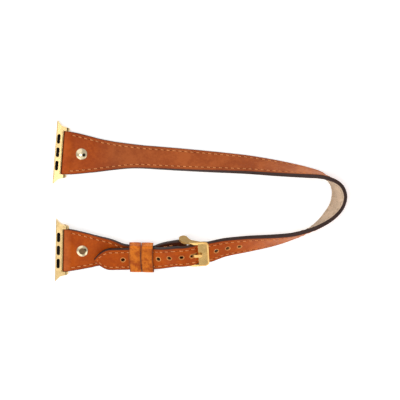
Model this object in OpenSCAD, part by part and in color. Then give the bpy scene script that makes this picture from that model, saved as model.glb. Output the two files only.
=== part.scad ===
// Double wrap leather watch strap, lying as it is stored: the long strap loops
// over to the right on its edge, comes back under the buckle's outer bar and
// through the two keepers of the short strap. X runs along the strands, Z is up.

/* [Leather] */
// Width of the strap along its narrow length
strap_w = 11.8; // [10:0.1:13]
// Total thickness of the strap
strap_t = 2.2; // [2.1:0.1:2.8]
// Thickness of the outer leather and of the lining
skin_t = 0.9; // [0.7:0.05:1]
// Width of the strap at the adapters
end_w = 22.6; // [18:0.2:24]
// Distance over which the long strap tapers from its end
long_taper = 44; // [30:1:46]
// Reach of the loop's far end, from the middle of the strap
loop_reach = 72.5; // [66:0.5:80]
// Distance over which the short strap tapers from its end
short_taper = 35; // [28:1:36]
// Length of the leather flap folded back at each adapter
end_flap = 14; // [12:0.5:18]
// Length of the leather flap folded back at the buckle
buckle_flap = 8; // [6:0.5:10]
// Length of the pointed tip
tip_l = 6.8; // [5:0.2:9]
// Distance between adjustment holes
hole_pitch = 6.25; // [5.5:0.05:7]
// Diameter of an adjustment hole
hole_d = 2.2; // [2:0.05:2.4]

/* [Keepers] */
// Length of a keeper along the strap
keeper_l = 6.1; // [5:0.1:6.5]
// Thickness of the keeper leather
keeper_t = 0.95; // [0.7:0.05:1.2]
// Free width beside the strap inside a keeper, both sides together
keeper_slack = 1.6; // [1.4:0.1:2]

/* [Buckle] */
// Clear width between the buckle's arms
buckle_in = 12.6; // [12.6:0.1:13.4]
// Thickness of an arm
arm_t = 1.3; // [1:0.1:1.6]
// Width of the outer bar along the strap
bar_l = 5.5; // [4.5:0.1:5.6]
// Thickness of the outer bar
bar_t = 1; // [0.8:0.05:1.2]
// Diameter of the spring bar
spring_bar_d = 1.5; // [1.3:0.05:1.6]
// Diameter of the spring bar's tips
spring_tip_d = 0.8; // [0.7:0.05:0.9]
// Width of the tongue
tongue_w = 1.7; // [1.4:0.1:1.8]
// Thickness of the tongue
tongue_t = 1; // [0.8:0.05:1.1]

/* [Adapters] */
// Length of the lug that slides into the watch
lug_l = 33; // [31:0.5:36]
// Width of the lug, from its outer edge to the leather side
lug_w = 3.3; // [3:0.1:3.5]
// Thickness of the lug
lug_t = 3.2; // [3.2:0.1:3.6]
// Width over the two arms of the adapter
lug_arms_w = 26.4; // [26:0.2:28]
// Diameter of the cross screw
screw_d = 1.3; // [1.1:0.1:1.4]
// Length of an oval pad
pad_l = 5.1; // [4:0.1:5.6]
// Width of an oval pad
pad_w = 1.7; // [1.4:0.1:1.8]
// Distance between the ovals
pad_pitch = 7; // [6.6:0.1:7.4]

/* [Rivets] */
// Diameter of a rivet's cap
rivet_d = 5.8; // [4:0.1:7]
// Height of the domed cap
rivet_h = 1.2; // [0.9:0.1:1.6]
// Diameter of a rivet's post
rivet_post_d = 2; // [1.5:0.1:3]
// Distance of the rivet from the cross screw
rivet_at = 8.7; // [7:0.1:10]

/* [Hidden] */

running = 0.05;           // radial clearance of a part that turns on a pin
slide_gap = 0.1;          // clearance round a part that slides
fold_gap = 0.35;          // gap between the leather fold and the adapter
side_gap = 0.1;           // gap between the leather edge and an adapter arm
seat = 0.02;              // radial clearance of a pressed pin
ring_step = 2.4;          // spacing of the rings along a strap
fold_steps = 8;           // facets round a fold
fold_blend = 5;           // distance over which a fold closes up to the strap
edge_round = 0.25;        // rounding of the outer leather's edge
taper_ease = 0.75;        // below 1, the strap narrows earlier
hole_fn = 24;
pin_fn = 32;
worn_shift = [-0.7, 0, 0.9]; // stretch of the hole that the tongue has worn, both ways
eye_l = 2.6;              // length of the tongue's eye
eye_wall = 0.5;
heel_r = 2.3;             // heel of the buckle's arm, round the spring bar
bar_round = 2.4;          // corners of the outer bar
rim_w = 0.8;              // bevel on the outer bar's rim
rim_h = 0.4;
tip_reach = 1;            // depth of a spring bar tip in its arm
plunger_at = 4.5;         // inner end of a spring bar tip, from the middle
keeper_round = 0.7;
keeper_gap = 0.15;        // gap between the keepers at rest
pad_x = 1.55;             // middle of the ovals from the lug's outer edge
pad_sink = 0.15;
nose_r = 0.6;
head_r = 1.05;            // head of the cross screw
head_h = 0.8;
slot_w = 0.3;
dome_h = rivet_h - 0.25;
dish_deep = 0.5;
back_t = 0.4;             // back plate of a rivet

screw_r = screw_d / 2;
screw_bore_r = screw_r + running;
bar_r = spring_bar_d / 2;
bar_bore_r = bar_r + running;
fold_out_r = screw_bore_r + skin_t;             // outer radius of the fold at an adapter
screw_x = lug_w + fold_gap + fold_out_r;        // cross screw from the lug's outer edge
core_t = strap_t - 2 * skin_t;
eye_r = bar_bore_r + eye_wall;
skin_off = (strap_t - skin_t) / 2;              // mid-plane of a skin from the strap's own

// Centres the model's box on the origin, standing on the table
drawn_reach = 72.5;       // reach at which the stations below are written
centring = [0.26 - (loop_reach - drawn_reach) / 2, 0.39, 0.025];

// Vectors and frames. A frame is its origin and its along, across and up directions.
function unit(v) = v / norm(v);
function smooth(t) = let(c = min(1, max(0, t))) c * c * (3 - 2 * c);
function frame(origin, heading, roll) =
    let(along = [cos(heading), sin(heading), 0],
        across = [-sin(heading), cos(heading), 0] * cos(roll) + [0, 0, 1] * sin(roll))
    [origin + centring, along, across, cross(along, across)];
function at(f, p) = f[0] + p.x * f[1] + p.y * f[2] + p.z * f[3];
module place(f)
    multmatrix([[f[1].x, f[2].x, f[3].x, f[0].x],
                [f[1].y, f[2].y, f[3].y, f[0].y],
                [f[1].z, f[2].z, f[3].z, f[0].z],
                [0, 0, 0, 1]])
        children();

// Where the stiff pieces lie: lug's outer edge of each adapter, keepers, spring bar
upper_lug = frame([-75.6, 25, lug_t / 2], -4.4, 0);
lower_roll = 13;
lower_lug = frame([-75.1, -25.8, lug_l / 2 * sin(lower_roll) + lug_t / 2 * cos(lower_roll)],
                  -1.7, lower_roll);
keeper_seat = frame([-30.2, -29.2, 4.9], -1.25, 27);
clasp = frame([-8.3, -25.9, 6.7], 3.5, 35);

// The two straps cross the keepers in one plane, at small angles to them
short_skew = -2.95;       // heading of the short strap in the keepers
long_skew = 2.75;         // heading of the long strap in the keepers
stack = strap_t + 0.4;    // height of the long strap above the short one there
keeper_in_w = strap_w + keeper_slack;
keeper_in_h = strap_t + stack + 2 * slide_gap;
function in_keepers(u, skew, up) =
    [at(keeper_seat, [u, u * tan(skew), up]), keeper_seat[3]];
function in_clasp(u, up) = [at(clasp, [u, 0, up]), clasp[3]];
// Stations in a lug's plane lie behind its cross screw; turn rolls the strap there.
function behind_screw(f, s, turn = 0) =
    [at(f, [screw_x + s, 0, 0]), cos(turn) * f[3] + sin(turn) * f[2]];
flat_end = [7, 12.6, 16.5];   // the straps lie straight over these distances

// The long strap's level above the spring bar, along the buckle
tongue_hole = [4.6, 4.7];
under_bar = 2.9;
bar_start = 7.3;
bar_gap = 0.32;           // gap between the long strap and the outer bar
bar_top = under_bar + strap_t / 2 + bar_gap + bar_t;

// A free station is x, y, height of the strap's lowest edge above the table, and
// roll: the tilt of the strap about its length, raising the edge inside the loop.
long_stations = [
    behind_screw(upper_lug, 0), behind_screw(upper_lug, flat_end[0]),
    behind_screw(upper_lug, flat_end[1]), behind_screw(upper_lug, flat_end[2], 2.5),
    [-46, 23.5, 0.3, 5], [-36, 22.8, 0.1, 9], [-25, 22.1, 0, 14],
    [-12.5, 21.2, 0, 21], [0, 20.3, 0, 29], [12.5, 19.4, 0, 37], [25, 18.4, 0, 44.5],
    [37.5, 16.9, 0, 53], [48, 15.5, 0, 62.5], [56, 14.3, 0, 71], [62.5, 13, 0, 80],
    [68.1, 10.2, 0, 94], [71.6, 6.2, 0, 112], [72.5, 1.6, 0, 121], [71, -3.4, 0, 119],
    [67.3, -8.2, 0, 111], [62.1, -12.6, 0, 99], [56.2, -16, 0, 89], [47.8, -18.9, 0, 81],
    [37.4, -21.1, 0.2, 67.5], [25, -22.8, 1.3, 54], [13, -24.6, 2.8, 45],
    in_clasp(13.4, under_bar), in_clasp(10.5, under_bar), in_clasp(8.2, under_bar),
    in_clasp(6.4, under_bar + 0.5),
    in_clasp(tongue_hole.x, tongue_hole.y), in_clasp(0, 5.7), in_clasp(-5, 5.5),
    in_keepers(8, long_skew, stack), in_keepers(0, long_skew, stack),
    in_keepers(-8, long_skew, stack), in_keepers(-16, long_skew, stack),
    in_keepers(-24.6, long_skew, stack)];
hole_station = 30;        // the station at the hole that the tongue goes through
holes_to_tip = 6;
holes_to_loop = 4;

short_stations = [
    behind_screw(lower_lug, 0), behind_screw(lower_lug, flat_end[0]),
    behind_screw(lower_lug, flat_end[1]), behind_screw(lower_lug, flat_end[2], -4.5),
    [-47.3, -26.9, 1.85, -20.5],
    in_keepers(-10, short_skew, 0), in_keepers(-1.55, short_skew, 0),
    in_keepers(6, short_skew, 0),
    [-18.7, -27.7, 1.5, -29], [-15, -26.7, 1.85, -32],
    in_clasp(-3.5, 0), in_clasp(0, 0)];

// Turns stations into points with their up directions
function flat_dir(v) = unit([v.x, v.y, 0]);
function up_of(dir, roll) = [0, 0, cos(roll)] - [dir.y, -dir.x, 0] * sin(roll);
function rest_height(roll) = strap_w / 2 * abs(sin(roll)) + strap_t / 2 * abs(cos(roll));
function reach(x) = x > 0 ? x * loop_reach / drawn_reach : x;
function st_point(st) =
    len(st) == 2 ? st[0] : [reach(st[0]), st[1], st[2] + rest_height(st[3])] + centring;
function st_up(stations, i) =
    let(st = stations[i])
    len(st) == 2 ? st[1]
        : up_of(flat_dir(st_point(stations[i + 1]) - st_point(stations[i - 1])), st[3]);
function blend(a, b, c, d, t) =
    0.5 * (2 * b + (c - a) * t + (2 * a - 5 * b + 4 * c - d) * t * t
           + (3 * b - a - 3 * c + d) * t * t * t);
function steps_of(a, b) = max(2, ceil(norm(b - a) / ring_step));
function fine_points(stations) =
    let(n = len(stations), p = [for (st = stations) st_point(st)],
        u = [for (i = [0:n - 1]) st_up(stations, i)])
    [for (i = [0:n - 2])
        let(p0 = i > 0 ? p[i - 1] : 2 * p[0] - p[1],
            p3 = i < n - 2 ? p[i + 2] : 2 * p[n - 1] - p[n - 2],
            k = steps_of(p[i], p[i + 1]), last = i == n - 2 ? k : k - 1)
        for (j = [0:last])
            [blend(p0, p[i], p[i + 1], p3, j / k), unit(u[i] + (u[i + 1] - u[i]) * j / k)]];
function station_ring(stations, i, count = 0) =
    i == 0 ? count
        : station_ring(stations, i - 1,
                       count + steps_of(st_point(stations[i - 1]), st_point(stations[i])));
function running_length(pts) =
    [for (i = 0, s = 0; i < len(pts);
          i = i + 1, s = i < len(pts) ? s + norm(pts[i][0] - pts[i - 1][0]) : s) s];
// A path is a list of [point, along, across, up, distance]
function path_of(stations) =
    let(pts = fine_points(stations), s = running_length(pts), n = len(pts))
    [for (i = [0:n - 1])
        let(along = unit(pts[min(n - 1, i + 1)][0] - pts[max(0, i - 1)][0]),
            across = unit(cross(pts[i][1], along)))
        [pts[i][0], along, across, cross(along, across), s[i]]];
function path_length(path) = path[len(path) - 1][4];
function mix(a, b, t) = a + (b - a) * t;
function seg_at(path, s, i = 0) =
    i >= len(path) - 2 || path[i + 1][4] > s ? i : seg_at(path, s, i + 1);
function frame_at(path, s) =
    let(i = seg_at(path, s), a = path[i], b = path[i + 1], t = (s - a[4]) / (b[4] - a[4]),
        along = unit(mix(a[1], b[1], t)), across0 = mix(a[2], b[2], t),
        up = unit(cross(along, across0)))
    [mix(a[0], b[0], t), along, cross(up, along), up];

// Adds a ring at each given distance, unless one lies there already
ring_near = 0.05;
function ring_at(path, s) = concat(frame_at(path, s), [s]);
function with_rings(path, extra) =
    concat([for (i = [0:len(path) - 2])
        each concat([path[i]],
                    [for (e = extra)
                        if (e > path[i][4] + ring_near && e < path[i + 1][4] - ring_near)
                            ring_at(path, e)])],
           [path[len(path) - 1]]);

long_path = with_rings(path_of(long_stations), [fold_blend, end_flap]);
short_path = let(p = path_of(short_stations), l = path_length(p))
    with_rings(p, [fold_blend, end_flap, l - buckle_flap, l - fold_blend]);
long_l = path_length(long_path);
short_l = path_length(short_path);
prong_s = running_length(fine_points(long_stations))[station_ring(long_stations, hole_station)];

// Half widths of the straps along their length
function taper(s, l) =
    strap_w / 2 + (end_w - strap_w) / 2 * (1 - smooth(pow(max(0, s) / l, taper_ease)));
function tip(d) = d >= tip_l ? 1 : pow(1 - pow(1 - max(0, d) / tip_l, 2), 0.75);
function long_half(s) = taper(s, long_taper) * max(0.04, tip(long_l - s));
function short_half(s) = taper(s, short_taper);

// Tip rings lie closer together, so that the point is drawn well
tip_cuts = [0.98, 0.7, 0.45, 0.27, 0.14, 0.05, 0];
long_rings = concat([for (r = long_path) if (r[4] < long_l - tip_l * 1.1) r],
                    [for (c = tip_cuts) ring_at(long_path, long_l - tip_l * c)]);
function between(rings, a, b) =
    [for (r = rings) if (r[4] > a - ring_near && r[4] < b + ring_near) r];

// A strip is a list of rings; ring points go round from the lower right corner.
// Each side's triangles are cut the same way as those of the side that it meets.
// A flap runs back under its strap, so its triangles are cut the other way: from
// the first ring up to flap_to, and from flap_back rings before the last one.
module strip(rings, flap_to = 0, flap_back = 0) {
    n = len(rings[0]);
    m = len(rings);
    function id(i, j) = i * n + j % n;
    function forward(i) = i >= flap_to && i < m - 1 - flap_back;
    polyhedron(
        points = [for (r = rings) each r],
        faces = concat(
            [for (i = [0:m - 2]) for (j = [0:n - 1])
                each j == 0 && forward(i)
                    ? [[id(i, j), id(i + 1, j + 1), id(i + 1, j)],
                       [id(i, j), id(i, j + 1), id(i + 1, j + 1)]]
                    : [[id(i, j), id(i, j + 1), id(i + 1, j)],
                       [id(i + 1, j), id(i, j + 1), id(i + 1, j + 1)]]],
            [[for (j = [n - 1:-1:0]) id(0, j)]],
            [[for (j = [0:n - 1]) id(m - 1, j)]]),
        convexity = 10);
}
// Corners of a layer between two levels; the rounded kind breaks its upper edges
function slab(f, half, low, high) =
    [for (c = [[half, low], [-half, low], [-half, high], [half, high]])
        f[0] + c[0] * f[2] + c[1] * f[3]];
function rounded_slab(f, half, low, high) =
    let(e = min(edge_round, half / 3))
    [for (c = [[half, low], [-half, low], [-half, high - e], [-half + e, high],
               [half - e, high], [half, high - e]])
        f[0] + c[0] * f[2] + c[1] * f[3]];

// The outer leather folds round a pin and comes back as a flap under the strap.
// Its inside keeps clear of the bore, which is cut afterwards as a true cylinder.
function skin_slab(f, half, off) = rounded_slab(f, half, off - skin_t / 2, off + skin_t / 2);
function fold_r(bore_r) = bore_r - running + skin_t / 2;
function fold_off(s, bore_r) = mix(fold_r(bore_r), skin_off, smooth(s / fold_blend));
function turned_over(f) = [f[0], f[1], f[2], -f[3]];
function fold_rings(f, half, bore_r, side, angles) =
    [for (a = angles)
        skin_slab([f[0], f[1], f[2], cos(a) * f[3] + side * sin(a) * f[1]], half, fold_r(bore_r))];
fold_angles = [for (i = [0:fold_steps]) 180 * i / fold_steps];
unfold_angles = [for (i = [fold_steps:-1:0]) 180 * i / fold_steps];
fold_start = 0.5;         // first ring of a flap behind its fold
function flap_rings(rings, bore_r, distances, half) =
    [for (i = [0:len(rings) - 1])
        skin_slab(turned_over(rings[i]), half(rings[i][4]), fold_off(distances[i], bore_r))];
function start_flap(path, half, bore_r, flap) =
    let(r = between(path, fold_start, flap), n = len(r),
        back = [for (i = [n - 1:-1:0]) r[i]])
    flap_rings(back, bore_r, [for (g = back) g[4]], half);
function end_flap_rings(path, half, bore_r, flap) =
    let(l = path_length(path), r = between(path, l - flap, l - fold_start), n = len(r),
        back = [for (i = [n - 1:-1:0]) r[i]])
    flap_rings(back, bore_r, [for (g = back) l - g[4]], half);
function last_of(path) = path[len(path) - 1];

// A cylinder across the strap, centred on a frame, and holes through the strap
module across_bar(f, r, l, fn = pin_fn)
    place(f) rotate([90, 0, 0]) cylinder(r = r, h = l, center = true, $fn = fn);
module punch(path, s, d, shifts = [0])
    place(frame_at(path, s))
        for (x = shifts)
            translate([x, 0, 0]) cylinder(d = d, h = 3 * strap_t, center = true, $fn = hole_fn);
module strap_holes()
    for (k = [-holes_to_tip:holes_to_loop])
        punch(long_path, prong_s - k * hole_pitch, hole_d, k == 0 ? worn_shift : [0]);
module rivet_hole(path) punch(path, rivet_at, rivet_post_d + 2 * seat);

module long_strap_outer() color("#AE5A2C")
    difference() {
        half = function(s) long_half(s);
        flap = start_flap(long_rings, half, screw_bore_r, end_flap);
        strip(concat(flap,
                     fold_rings(long_rings[0], end_w / 2, screw_bore_r, -1, unfold_angles),
                     [for (r = between(long_rings, fold_start, long_l))
                         skin_slab(r, half(r[4]), fold_off(r[4], screw_bore_r))]),
              len(flap) - 1);
        across_bar(long_path[0], screw_bore_r, end_w + 2);
        rivet_hole(long_path);
        strap_holes();
    }
module long_strap_core() color("#7A4A2C")
    difference() {
        strip([for (r = between(long_rings, fold_blend, long_l))
            slab(r, long_half(r[4]), -core_t / 2, core_t / 2)]);
        rivet_hole(long_path);
        strap_holes();
    }
module long_strap_lining() color("#C3A98A")
    difference() {
        strip([for (r = between(long_rings, end_flap, long_l))
            slab(r, long_half(r[4]), -strap_t / 2, -core_t / 2)]);
        strap_holes();
    }

// The eye of the tongue turns in a slot of the short strap's fold
module tongue_slot()
    place(clasp)
        translate([-eye_r - 0.6, -eye_l / 2 - slide_gap, -fold_blend])
            cube([2 * fold_blend, eye_l + 2 * slide_gap, 2 * fold_blend]);
module short_strap_outer() color("#B5531B")
    difference() {
        half = function(s) short_half(s);
        screw_flap = start_flap(short_path, half, screw_bore_r, end_flap);
        bar_flap = end_flap_rings(short_path, half, bar_bore_r, buckle_flap);
        strip(concat(screw_flap,
                     fold_rings(short_path[0], end_w / 2, screw_bore_r, -1, unfold_angles),
                     [for (r = between(short_path, fold_start, short_l - fold_start))
                         skin_slab(r, half(r[4]), max(fold_off(r[4], screw_bore_r),
                                                      fold_off(short_l - r[4], bar_bore_r)))],
                     fold_rings(last_of(short_path), strap_w / 2, bar_bore_r, 1, fold_angles),
                     bar_flap),
              len(screw_flap) - 1, len(bar_flap) - 1);
        across_bar(short_path[0], screw_bore_r, end_w + 2);
        across_bar(clasp, bar_bore_r, strap_w + 2);
        rivet_hole(short_path);
        tongue_slot();
    }
module short_strap_core() color("#7A4A2C")
    difference() {
        strip([for (r = between(short_path, fold_blend, short_l - fold_blend))
            slab(r, short_half(r[4]), -core_t / 2, core_t / 2)]);
        rivet_hole(short_path);
    }
module short_strap_lining() color("#C3A98A")
    strip([for (r = between(short_path, end_flap, short_l - buckle_flap))
        slab(r, short_half(r[4]), -strap_t / 2, -core_t / 2)]);

// Rounded rectangle and slot with round ends, centred
module round_rect(w, h, r) {
    square([w - 2 * r, h], center = true);
    square([w, h - 2 * r], center = true);
    for (x = [-1, 1], y = [-1, 1])
        translate([x * (w / 2 - r), y * (h / 2 - r)]) circle(r, $fn = 32);
}
module oval(l, w) round_rect(w, l, w / 2 - 0.001);
// Extrudes a section drawn across and up, along the frame
module along_frame(l) rotate([90, 0, 90]) linear_extrude(l) children();

module keeper(u)
    place(keeper_seat) translate([u, 0, 0]) along_frame(keeper_l)
        translate([0, stack / 2]) difference() {
            round_rect(keeper_in_w + 2 * keeper_t, keeper_in_h + 2 * keeper_t, keeper_round + keeper_t);
            round_rect(keeper_in_w, keeper_in_h, keeper_round);
        }
module fixed_keeper() color("#C0702F") keeper(0);
module free_keeper() color("#C8762F") keeper(-keeper_l - keeper_gap);

// Sections of the buckle are drawn along and up, and extruded across
module side_on(w) rotate([90, 0, 0]) linear_extrude(w, center = true) children();
// A smooth curve through a few chosen points
function curve(p, k = 4) =
    let(n = len(p))
    [for (i = [0:n - 2]) for (j = [0:i == n - 2 ? k : k - 1])
        blend(p[max(0, i - 1)], p[i], p[i + 1], p[min(n - 1, i + 2)], j / k)];
arm_top = [[-1.7, 1.5], [-0.5, 3.1], [3.1, bar_top - 0.75], [bar_start, bar_top]];
arm_low = [[bar_start + 2.2, bar_top - bar_t], [6.3, 3.1], [3.7, 1.75], [2, -1]];
module arm_side() {
    circle(heel_r, $fn = 64);
    polygon(concat(curve(arm_top), [[bar_start + 2.2, bar_top]], curve(arm_low), [[0, -heel_r / 2]]));
}
module bar_plan() {
    w = buckle_in + 2 * arm_t;
    translate([bar_start, -w / 2]) square([bar_l - bar_round, w]);
    translate([bar_start, -w / 2 + bar_round]) square([bar_l, w - 2 * bar_round]);
    for (y = [-1, 1])
        translate([bar_start + bar_l - bar_round, y * (w / 2 - bar_round)])
            circle(bar_round, $fn = 64);
}
// What the bevel takes off, across and above the rim
module rim_wedge() polygon([[-rim_w, 0], [0, -rim_h], [1, -rim_h], [1, 1], [-rim_w, 1]]);
module rim_cut() {
    straight = buckle_in / 2 + arm_t - bar_round;
    for (y = [-1, 1]) {
        translate([arm_top[2].x, y * (straight + bar_round), bar_top])
            rotate([90, 0, 90]) scale([y, 1, 1])
                linear_extrude(bar_start + bar_l - bar_round - arm_top[2].x) rim_wedge();
        translate([bar_start + bar_l - bar_round, y * straight, bar_top])
            rotate([0, 0, y > 0 ? 0 : -90]) rotate_extrude(angle = 90, $fn = 64)
                translate([bar_round, 0]) rim_wedge();
    }
    translate([bar_start + bar_l, straight, bar_top])
        rotate([90, 0, 0]) linear_extrude(2 * straight) rim_wedge();
}
module buckle_frame() color("#C29F50")
    place(clasp) difference() {
        union() {
            for (y = [-1, 1])
                translate([0, y * (buckle_in + arm_t) / 2, 0]) side_on(arm_t) arm_side();
            translate([0, 0, bar_top - bar_t]) linear_extrude(bar_t) bar_plan();
        }
        rim_cut();
        for (y = [-1, 1])
            translate([0, y * buckle_in / 2, 0]) rotate([-90 * y, 0, 0])
                translate([0, 0, -0.1])
                    cylinder(r = spring_tip_d / 2 + running, h = tip_reach + 0.2, $fn = pin_fn);
    }

// The tongue's eye goes round the spring bar; its prong climbs through the worn
// hole of the long strap and rests on the outer bar
prong_level = bar_top + tongue_t / 2 + 0.02;
prong_line = [[0.9, 0.9], [2.9, 2.9], tongue_hole, [5.7, prong_level - 0.05],
              [7.2, prong_level + 0.08], [8.4, prong_level]];
function edge_of(line, side) =
    let(n = len(line))
    [for (i = [0:n - 1])
        let(d = unit(line[min(n - 1, i + 1)] - line[max(0, i - 1)]))
        line[i] + side * tongue_t / 2 * [-d.y, d.x]];
module buckle_tongue() color("#D0B060")
    place(clasp) difference() {
        line = curve(prong_line);
        union() {
            side_on(eye_l) circle(eye_r, $fn = 48);
            side_on(tongue_w)
                polygon(concat(edge_of(line, 1),
                               [for (i = [len(line) - 1:-1:0]) edge_of(line, -1)[i]]));
            translate([prong_line[5].x, 0, prong_level - tongue_t / 2])
                cylinder(d = tongue_w, h = tongue_t, $fn = 32);
        }
        rotate([90, 0, 0]) cylinder(r = bar_bore_r, h = eye_l + 1, center = true, $fn = pin_fn);
    }

module spring_bar_tube() color("#C9C9C4")
    place(clasp) rotate([90, 0, 0]) difference() {
        cylinder(r = bar_r, h = buckle_in - 2 * slide_gap, center = true, $fn = pin_fn);
        cylinder(r = spring_tip_d / 2 + seat, h = buckle_in, center = true, $fn = pin_fn);
    }
module spring_bar_tips() color("#B8B8B4")
    for (y = [-1, 1])
        place(clasp) rotate([-90 * y, 0, 0])
            translate([0, 0, plunger_at])
                cylinder(d = spring_tip_d, h = buckle_in / 2 + tip_reach - plunger_at, $fn = pin_fn);
// Coil of the spring bar, one unbroken tube of six sides
coil_turns = 10;
coil_wire = 0.2;
coil_steps = 8;
function coil_ring(i) =
    let(a = 360 * i / coil_steps, r = spring_tip_d / 2 - coil_wire / 2 - 0.02,
        x = (i / (coil_steps * coil_turns) - 0.5) * (2 * plunger_at - coil_wire))
    [for (k = [0:5])
        let(b = 60 * k, q = r + coil_wire / 2 * cos(b))
        [q * cos(a), q * sin(a), x + coil_wire / 2 * sin(b)]];
module spring_bar_spring() color("#8E8E8A")
    place(clasp) rotate([90, 0, 0]) strip([for (i = [0:coil_steps * coil_turns]) coil_ring(i)]);

// Adapter, drawn from the middle of the lug's outer edge
arm_in = end_w / 2 + side_gap;
arm_end = screw_x + lug_t / 2;
end_cut = (lug_l - lug_arms_w) / 2 * 0.8;
tip_flat = 0.35;
arm_round = 0.6;
sill_l = 0.7;             // sill under the fold, which closes the gap to the leather
sill_t = 0.35;
pocket_grow = 0.6;
lip_z = lug_t / 2 - 0.7;
plate_t = 0.5;
flange_t = 0.5;
leaf_t = 0.15;
leaf_w = pad_w - 0.5;
// One side runs from the blunt tip in a hollow curve to the shoulder, and along the
// arm, which narrows a little towards its round end
arm_out = lug_arms_w / 2;
lug_edge = concat([[0, lug_l / 2]],
                  curve([[tip_flat, lug_l / 2], [1.5, arm_out + 1.9], [end_cut, arm_out + 0.8],
                         [end_cut + 0.8, arm_out + 0.5], [screw_x, arm_out],
                         [arm_end - arm_round, arm_out - 0.25]]),
                  [[arm_end - 0.3 * arm_round, arm_out - 0.25 - 0.3 * arm_round],
                   [arm_end, arm_out - 0.25 - arm_round], [arm_end, arm_in], [lug_w, arm_in]]);
module lug_plan()
    polygon(concat(lug_edge,
                   [for (i = [len(lug_edge) - 1:-1:0]) [lug_edge[i].x, -lug_edge[i].y]]));
module lug_side() {
    for (z = [-1, 1])
        translate([nose_r, z * (lug_t / 2 - nose_r)]) circle(nose_r, $fn = 32);
    translate([0, -lug_t / 2 + nose_r]) square([nose_r * 2, lug_t - 2 * nose_r]);
    translate([nose_r, -lug_t / 2]) square([screw_x - nose_r, lug_t]);
    translate([screw_x, 0]) circle(lug_t / 2, $fn = 64);
}
module adapter(f) color("#F0D48A")
    place(f) difference() {
        union() {
            intersection() {
                linear_extrude(lug_t, center = true) lug_plan();
                side_on(lug_l) lug_side();
            }
            translate([lug_w - sill_l, -arm_in - sill_l, -lug_t / 2])
                cube([2 * sill_l, 2 * (arm_in + sill_l), sill_t]);
        }
        for (y = [-1, 1])
            translate([pad_x, y * pad_pitch, -lug_t]) linear_extrude(2 * lug_t) oval(pad_l, pad_w);
        translate([pad_x, 0, -lug_t]) linear_extrude(2 * lug_t) oval(pad_l, pad_w);
        translate([pad_x, 0, -lug_t]) linear_extrude(lug_t + lip_z)
            oval(pad_l + pocket_grow, pad_w + pocket_grow);
        translate([screw_x, 0, 0]) rotate([90, 0, 0])
            cylinder(r = screw_r + seat, h = lug_l, center = true, $fn = pin_fn);
        translate([screw_x, lug_arms_w / 2 - head_h, 0]) rotate([-90, 0, 0])
            cylinder(r = head_r + seat, h = lug_t, $fn = pin_fn);
    }
module pads(f) color("#20160F")
    place(f) for (y = [-1, 1])
        translate([pad_x, y * pad_pitch, -lug_t / 2 + pad_sink])
            linear_extrude(lug_t - 2 * pad_sink) oval(pad_l - 2 * seat, pad_w - 2 * seat);
module latch_button(f) color("#3A3036")
    place(f) translate([pad_x, 0, 0]) {
        translate([0, 0, lip_z - flange_t]) linear_extrude(lug_t / 2 - pad_sink - lip_z + flange_t)
            oval(pad_l - 2 * slide_gap, pad_w - 2 * slide_gap);
        translate([0, 0, lip_z - flange_t - seat]) linear_extrude(flange_t)
            oval(pad_l + pocket_grow - 2 * slide_gap, pad_w + pocket_grow - 2 * slide_gap);
    }
module latch_plate(f) color("#C8B070")
    place(f) translate([pad_x, 0, -lug_t / 2]) linear_extrude(plate_t)
        oval(pad_l + pocket_grow - 2 * seat, pad_w + pocket_grow - 2 * seat);
// A bowed leaf: its feet stand on the plate, its crown touches the button
module latch_spring(f) {
    low = -lug_t / 2 + plate_t;
    rise = lip_z - flange_t - seat - low;
    foot = pad_l / 2;
    r = (foot * foot + rise * rise) / (2 * rise);
    color("#A8A8A4") place(f) translate([pad_x, 0, low]) rotate([90, 0, 90])
        linear_extrude(leaf_w, center = true) intersection() {
            translate([0, rise - r]) difference() {
                circle(r, $fn = 96);
                circle(r - leaf_t, $fn = 96);
            }
            translate([-foot, 0]) square([2 * foot, rise]);
        }
}
module cross_screw(f) color("#D9BC74")
    place(f) translate([screw_x, 0, 0]) rotate([-90, 0, 0]) difference() {
        union() {
            translate([0, 0, -lug_arms_w / 2 + pad_sink])
                cylinder(r = screw_r, h = lug_arms_w - pad_sink - head_h, $fn = pin_fn);
            translate([0, 0, lug_arms_w / 2 - head_h])
                cylinder(r = head_r, h = head_h - pad_sink, $fn = pin_fn);
        }
        translate([-head_r, -slot_w / 2, lug_arms_w / 2 - pad_sink - slot_w])
            cube([2 * head_r, slot_w, 1]);
    }

// Rivet: a domed cap on the face, a post with a back plate under the strap. The lower
// one's cap is dished, as a rolled rivet's is.
module rivet_dish()
    translate([0, 0, rivet_h - dish_deep]) cylinder(d = rivet_d * 0.52, h = rivet_h, $fn = 48);
module dished_cap(path) color("#E8DDB8")
    difference() {
        rivet_cap(path);
        place(frame_at(path, rivet_at)) translate([0, 0, strap_t / 2]) rivet_dish();
    }
module rivet_cap(path) color("#E8DDB8")
    place(frame_at(path, rivet_at)) translate([0, 0, strap_t / 2]) {
        r = (rivet_d * rivet_d / 4 + dome_h * dome_h) / (2 * dome_h);
        cylinder(d = rivet_d, h = rivet_h - dome_h, $fn = 64);
        intersection() {
            translate([0, 0, rivet_h - r]) sphere(r, $fn = 96);
            translate([0, 0, rivet_h - dome_h]) cylinder(d = rivet_d, h = dome_h, $fn = 64);
        }
    }
module rivet_post(path) color("#D8C48C")
    place(frame_at(path, rivet_at)) {
        translate([0, 0, -strap_t / 2]) cylinder(d = rivet_post_d, h = strap_t, $fn = pin_fn);
        translate([0, 0, -strap_t / 2 - back_t]) cylinder(d = rivet_d - 0.6, h = back_t, $fn = 64);
    }

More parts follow.
